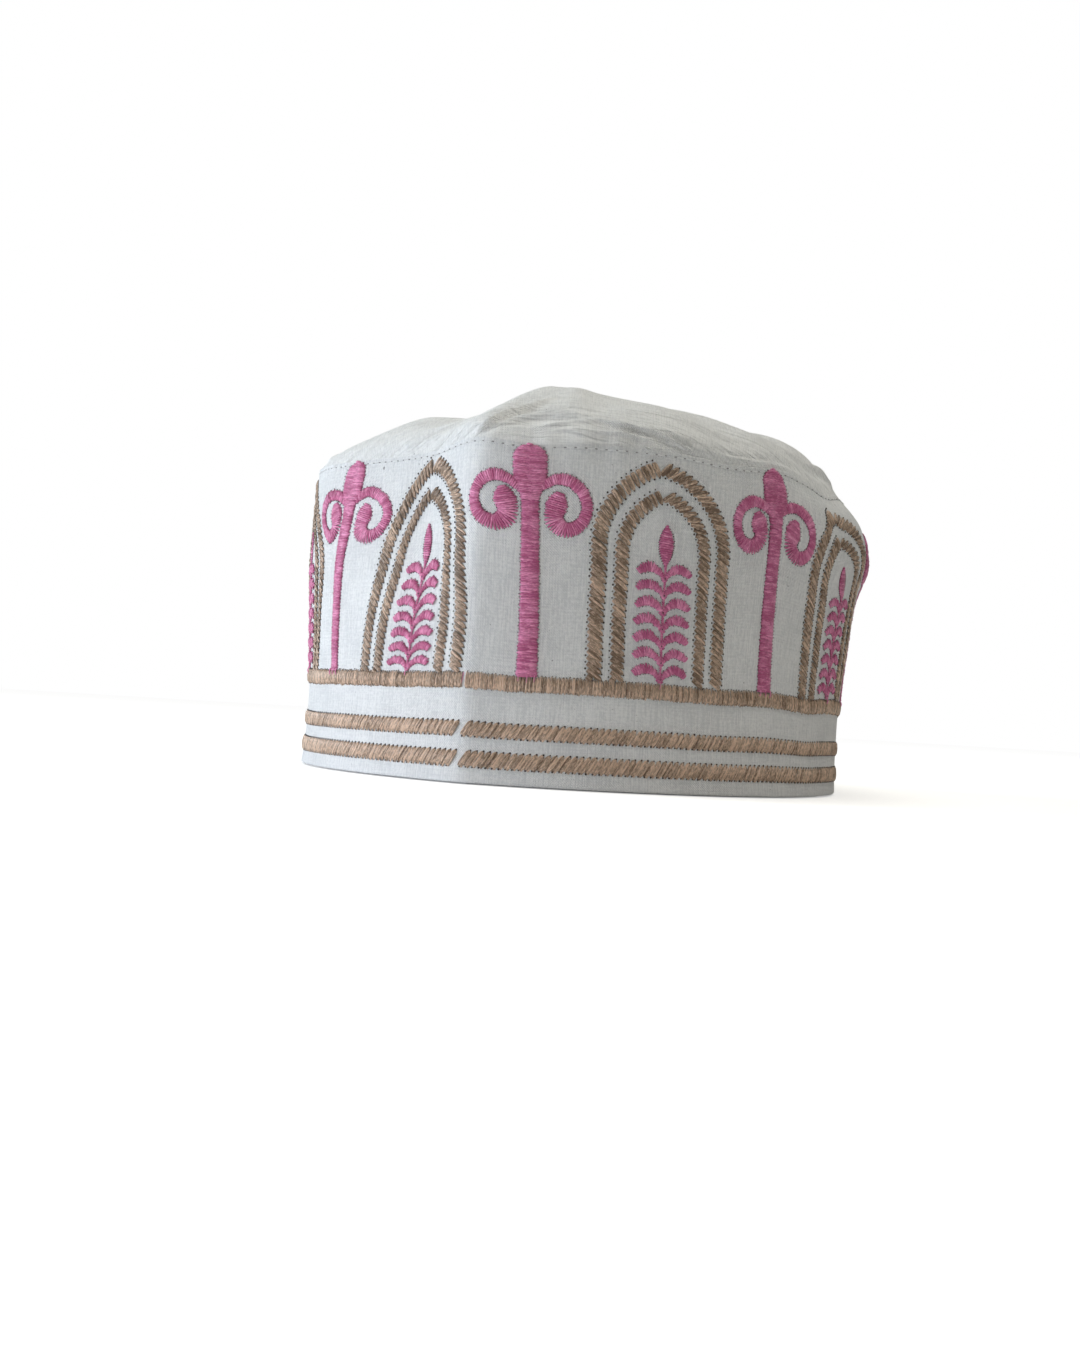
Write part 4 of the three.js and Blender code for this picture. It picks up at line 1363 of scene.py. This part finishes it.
class KUFI_OT_outer_band(bpy.types.Operator):
    """Make the outer cloth of the band"""
    bl_idname = "kufi.outer_band"
    bl_label = "Outer band"

    def execute(self, context):
        heights = np.concatenate([[0, 0.3, 0.7, 1.3], np.linspace(2.1, 83, 66),
                                  np.linspace(84, 88.7, 14)])
        cloth = context.scene.kufi_sizes.outer_cloth / MM
        table = band_table(BAND_STEPS, heights, band_surface, cloth, **OUTER_CLOTH)
        mesh = mapped_grid("outer_band_cloth", table, profile_lengths(table))
        piece = piece_from("outer_band_cloth", mesh, "woven_cotton", "outer_band")
        return {"FINISHED"}


class KUFI_OT_lining(bpy.types.Operator):
    """Make the lining of the band"""
    bl_idname = "kufi.lining"
    bl_label = "Lining"

    def execute(self, context):
        heights = np.concatenate([[0.2, 0.6], np.linspace(1.5, 88.5, 44)])

        def surface(angle, height):
            relief = LINING_RELIEF * band_relief(angle, height) + LINING_OUT
            place = wall_point(angle, height) + SHIFT
            return place + level_normal(angle, height) * relief[..., None]

        cloth = context.scene.kufi_sizes.lining_cloth / MM
        table = band_table(LINING_STEPS, heights, surface, cloth, **LINING_CLOTH)
        mesh = mapped_grid("lining_cloth", table, profile_lengths(table))
        piece = piece_from("lining_cloth", mesh, "inner_cotton", "lining")
        return {"FINISHED"}


class KUFI_OT_crown(bpy.types.Operator):
    """Make the soft crown"""
    bl_idname = "kufi.crown"
    bl_label = "Crown"

    def execute(self, context):
        cloth = context.scene.kufi_sizes.crown_cloth / MM
        angles = np.linspace(-180, 180, CROWN_STEPS + 1)
        reaches = np.concatenate([np.linspace(0, 0.6, 22), np.linspace(0.615, 0.9, 30),
                                  np.linspace(0.905, 0.9994, 36)])
        rows = [crown_surface(angles, np.full(angles.shape, reach)) for reach in reaches]
        edge = np.full(angles.shape, reaches[-1])
        outward = crown_normal(angles, edge)
        for turn in np.linspace(0, math.pi, 5)[1:-1]:
            drop = (cloth / 2) * (1 - math.cos(turn))
            place = crown_surface(angles, edge) - outward * drop
            place[:, 2] -= CROWN_ROUNDING * math.sin(turn)
            rows.append(place)
        for reach in reaches[::-1][::CROWN_INNER_EVERY]:
            level = np.full(angles.shape, reach)
            normal = crown_normal(angles, np.maximum(level, LEAST_REACH))
            rows.append(crown_surface(angles, level) - normal * cloth)
        middle = crown_surface(angles, np.zeros(angles.shape))
        rows.append(middle - [0, 0, cloth])
        table = np.stack(rows, 1)
        radial = np.linalg.norm(np.diff(table, axis=1), axis=2)
        radial = np.concatenate([np.zeros((len(angles), 1)), np.cumsum(radial, 1)], 1)
        turn = np.radians(angles)[:, None]
        lengths = np.stack([radial * np.sin(turn), -radial * np.cos(turn)], -1)
        mesh = mapped_grid("crown_cloth", table, lengths)
        piece = piece_from("crown_cloth", mesh, "creased_cotton", "crown")
        return {"FINISHED"}


class KUFI_OT_top_stitches(bpy.types.Operator):
    """Make the stitches along the crown's seam"""
    bl_idname = "kufi.top_stitches"
    bl_label = "Seam stitches"

    def execute(self, context):
        stitched("crown_seam_stitches", top_stitches(), "seam_thread")
        return {"FINISHED"}


class KUFI_OT_borders(bpy.types.Operator):
    """Make the three embroidered borders"""
    bl_idname = "kufi.borders"
    bl_label = "Borders"

    def execute(self, context):
        for name in BORDERS:
            wide = name == "border_wide"
            stitching = wide_border_stitches() if wide else narrow_border_stitches(name)
            stitched(f"{name}_stitches", stitching, "tan_embroidery", name)
        return {"FINISHED"}


class KUFI_OT_arches(bpy.types.Operator):
    """Make the double pointed arches"""
    bl_idname = "kufi.arches"
    bl_label = "Arches"

    def execute(self, context):
        for number in range(1, REPEATS + 1):
            for name in ARCHES:
                stitched(f"{name}_stitches_{number}", arch_stitches(name, number),
                         "tan_embroidery", f"{name}_{number}")
        return {"FINISHED"}


class KUFI_OT_columns(bpy.types.Operator):
    """Make the columns with their volutes"""
    bl_idname = "kufi.columns"
    bl_label = "Columns"

    def execute(self, context):
        for number in range(1, REPEATS + 1):
            stitched(f"shaft_stitches_{number}", shaft_stitches(number),
                     "pink_embroidery", f"shaft_{number}")
            for label, side in (("left", -1), ("right", 1)):
                stitched(f"volute_{label}_stitches_{number}", volute_stitches(side, number),
                         "pink_embroidery", f"volute_{label}_{number}")
        return {"FINISHED"}


class KUFI_OT_fronds(bpy.types.Operator):
    """Make the fronds that stand in the arches"""
    bl_idname = "kufi.fronds"
    bl_label = "Fronds"

    def execute(self, context):
        for number in range(1, REPEATS + 1):
            stitched(f"frond_stitches_{number}", frond_stitches(number),
                     "pink_embroidery", f"frond_{number}")
        return {"FINISHED"}


def area_light(name, power, place, width, height, tint):
    """A soft light that looks at the cap and isn't seen itself."""
    light = bpy.data.lights.new(name, "AREA")
    light.shape = "RECTANGLE"
    light.size = width
    light.size_y = height
    light.energy = power
    light.color = tint
    lamp = bpy.data.objects.new(name, light)
    bpy.context.scene.collection.objects.link(lamp)
    lamp.location = place
    to_cap = Vector(LIGHT_TARGET) - Vector(place)
    lamp.rotation_euler = to_cap.to_track_quat("-Z", "Y").to_euler()
    lamp.visible_camera = False


def make_floor(tint):
    """A plain floor that glows a little for the camera alone."""
    bm = bmesh.new()
    bmesh.ops.create_grid(bm, x_segments=1, y_segments=1, size=FLOOR_HALF_SIZE)
    bmesh.ops.translate(bm, verts=bm.verts, vec=(0, 0, -FLOOR_DROP))
    mesh = bpy.data.meshes.new("floor")
    bm.to_mesh(mesh)
    bm.free()
    floor = bpy.data.objects.new("floor", mesh)
    bpy.context.scene.collection.objects.link(floor)
    material = bpy.data.materials.new("floor")
    material.use_nodes = True
    tree = material.node_tree
    shader = tree.nodes["Principled BSDF"]
    shader.inputs["Base Color"].default_value = tint
    shader.inputs["Roughness"].default_value = 1.0
    shader.inputs["Specular IOR Level"].default_value = 0.0
    shader.inputs["Emission Color"].default_value = WHITE
    place = add_node(tree, "ShaderNodeTexCoord").outputs["Object"]
    reach = add_node(tree, "ShaderNodeVectorMath", {"operation": "LENGTH"}, Vector=place)
    glow = remap(tree, reach.outputs["Value"], *GLOW_REACH, *FLOOR_GLOW)
    seen = add_node(tree, "ShaderNodeLightPath").outputs["Is Camera Ray"]
    feed(tree, shader.inputs["Emission Strength"], math_node(tree, "MULTIPLY", seen, glow))
    mesh.materials.append(material)


def make_room(strength):
    """Even light from all round, and a white backdrop for the camera alone."""
    world = bpy.data.worlds.new("room")
    bpy.context.scene.world = world
    world.use_nodes = True
    tree = world.node_tree
    background = tree.nodes["Background"]
    background.inputs["Color"].default_value = ROOM_COLOUR
    background.inputs["Strength"].default_value = strength
    seen = add_node(tree, "ShaderNodeBackground", Color=WHITE, Strength=1.0)
    ray = add_node(tree, "ShaderNodeLightPath").outputs["Is Camera Ray"]
    either = add_node(tree, "ShaderNodeMixShader", Fac=ray)
    tree.links.new(background.outputs[0], either.inputs[1])
    tree.links.new(seen.outputs[0], either.inputs[2])
    tree.links.new(either.outputs[0], tree.nodes["World Output"].inputs["Surface"])


def make_camera(settings):
    """The camera stands behind the cap, just over the floor, looks a little up and is rolled."""
    yaw, pitch, roll = (math.radians(turn) for turn in (CAMERA_YAW, CAMERA_PITCH, CAMERA_ROLL))
    right = Vector((math.cos(yaw), -math.sin(yaw), 0))
    level = math.cos(pitch)
    ahead = Vector((math.sin(yaw) * level, math.cos(yaw) * level, -math.sin(pitch)))
    up = right.cross(ahead)
    rolled_right = right * math.cos(roll) + up * math.sin(roll)
    rolled_up = up * math.cos(roll) - right * math.sin(roll)
    data = bpy.data.cameras.new("back_view")
    data.lens = settings.lens
    data.sensor_width = 36
    data.clip_start = 0.01
    data.clip_end = 50
    camera = bpy.data.objects.new("back_view", data)
    bpy.context.scene.collection.objects.link(camera)
    turned = Matrix((rolled_right, rolled_up, -ahead)).transposed().to_4x4()
    turned.translation = Vector((SHIFT[0] * MM, SHIFT[1] * MM - CAMERA_BEHIND, CAMERA_HEIGHT))
    camera.matrix_world = turned
    bpy.context.scene.camera = camera


class KUFI_OT_stage(bpy.types.Operator):
    """Make the floor, the light and the camera"""
    bl_idname = "kufi.stage"
    bl_label = "Stage"

    def execute(self, context):
        settings = context.scene.kufi_stage
        context.scene.view_settings.view_transform = "Standard"
        make_floor(context.scene.kufi_colours.floor)
        area_light("window_light", settings.key_power, **WINDOW_LIGHT)
        area_light("top_light", settings.top_power, **TOP_LIGHT)
        area_light("low_light", settings.low_power, **LOW_LIGHT)
        make_room(settings.room)
        make_camera(settings)
        return {"FINISHED"}


OPERATORS = (
    KUFI_OT_outer_band, KUFI_OT_lining, KUFI_OT_crown, KUFI_OT_top_stitches, KUFI_OT_borders,
    KUFI_OT_arches, KUFI_OT_columns, KUFI_OT_fronds, KUFI_OT_stage,
)


class KUFI_PT_panel(bpy.types.Panel):
    """Buttons for each part of the cap, with its sizes, colours and light"""
    bl_idname = "KUFI_PT_panel"
    bl_label = "Kufi"
    bl_space_type = "VIEW_3D"
    bl_region_type = "UI"
    bl_category = "Kufi"

    def draw(self, context):
        layout = self.layout
        for operator in OPERATORS:
            layout.operator(operator.bl_idname)
        scene = context.scene
        for settings in (scene.kufi_sizes, scene.kufi_colours, scene.kufi_stage):
            box = layout.box()
            for name in settings.__annotations__:
                box.prop(settings, name)


CLASSES = (KufiSizes, KufiColours, KufiStage) + OPERATORS + (KUFI_PT_panel,)


def register():
    for item in CLASSES:
        bpy.utils.register_class(item)
    bpy.types.Scene.kufi_sizes = bpy.props.PointerProperty(type=KufiSizes)
    bpy.types.Scene.kufi_colours = bpy.props.PointerProperty(type=KufiColours)
    bpy.types.Scene.kufi_stage = bpy.props.PointerProperty(type=KufiStage)


def unregister():
    del bpy.types.Scene.kufi_stage
    del bpy.types.Scene.kufi_colours
    del bpy.types.Scene.kufi_sizes
    for item in reversed(CLASSES):
        bpy.utils.unregister_class(item)


def corners(box):
    """A box's two corners as plain lists."""
    return [list(corner) for corner in box]


def main():
    """Makes every part in order."""
    register()
    for operator in OPERATORS:
        group, name = operator.bl_idname.split(".")
        getattr(getattr(bpy.ops, group), name)()


if __name__ == "__main__":
    main()
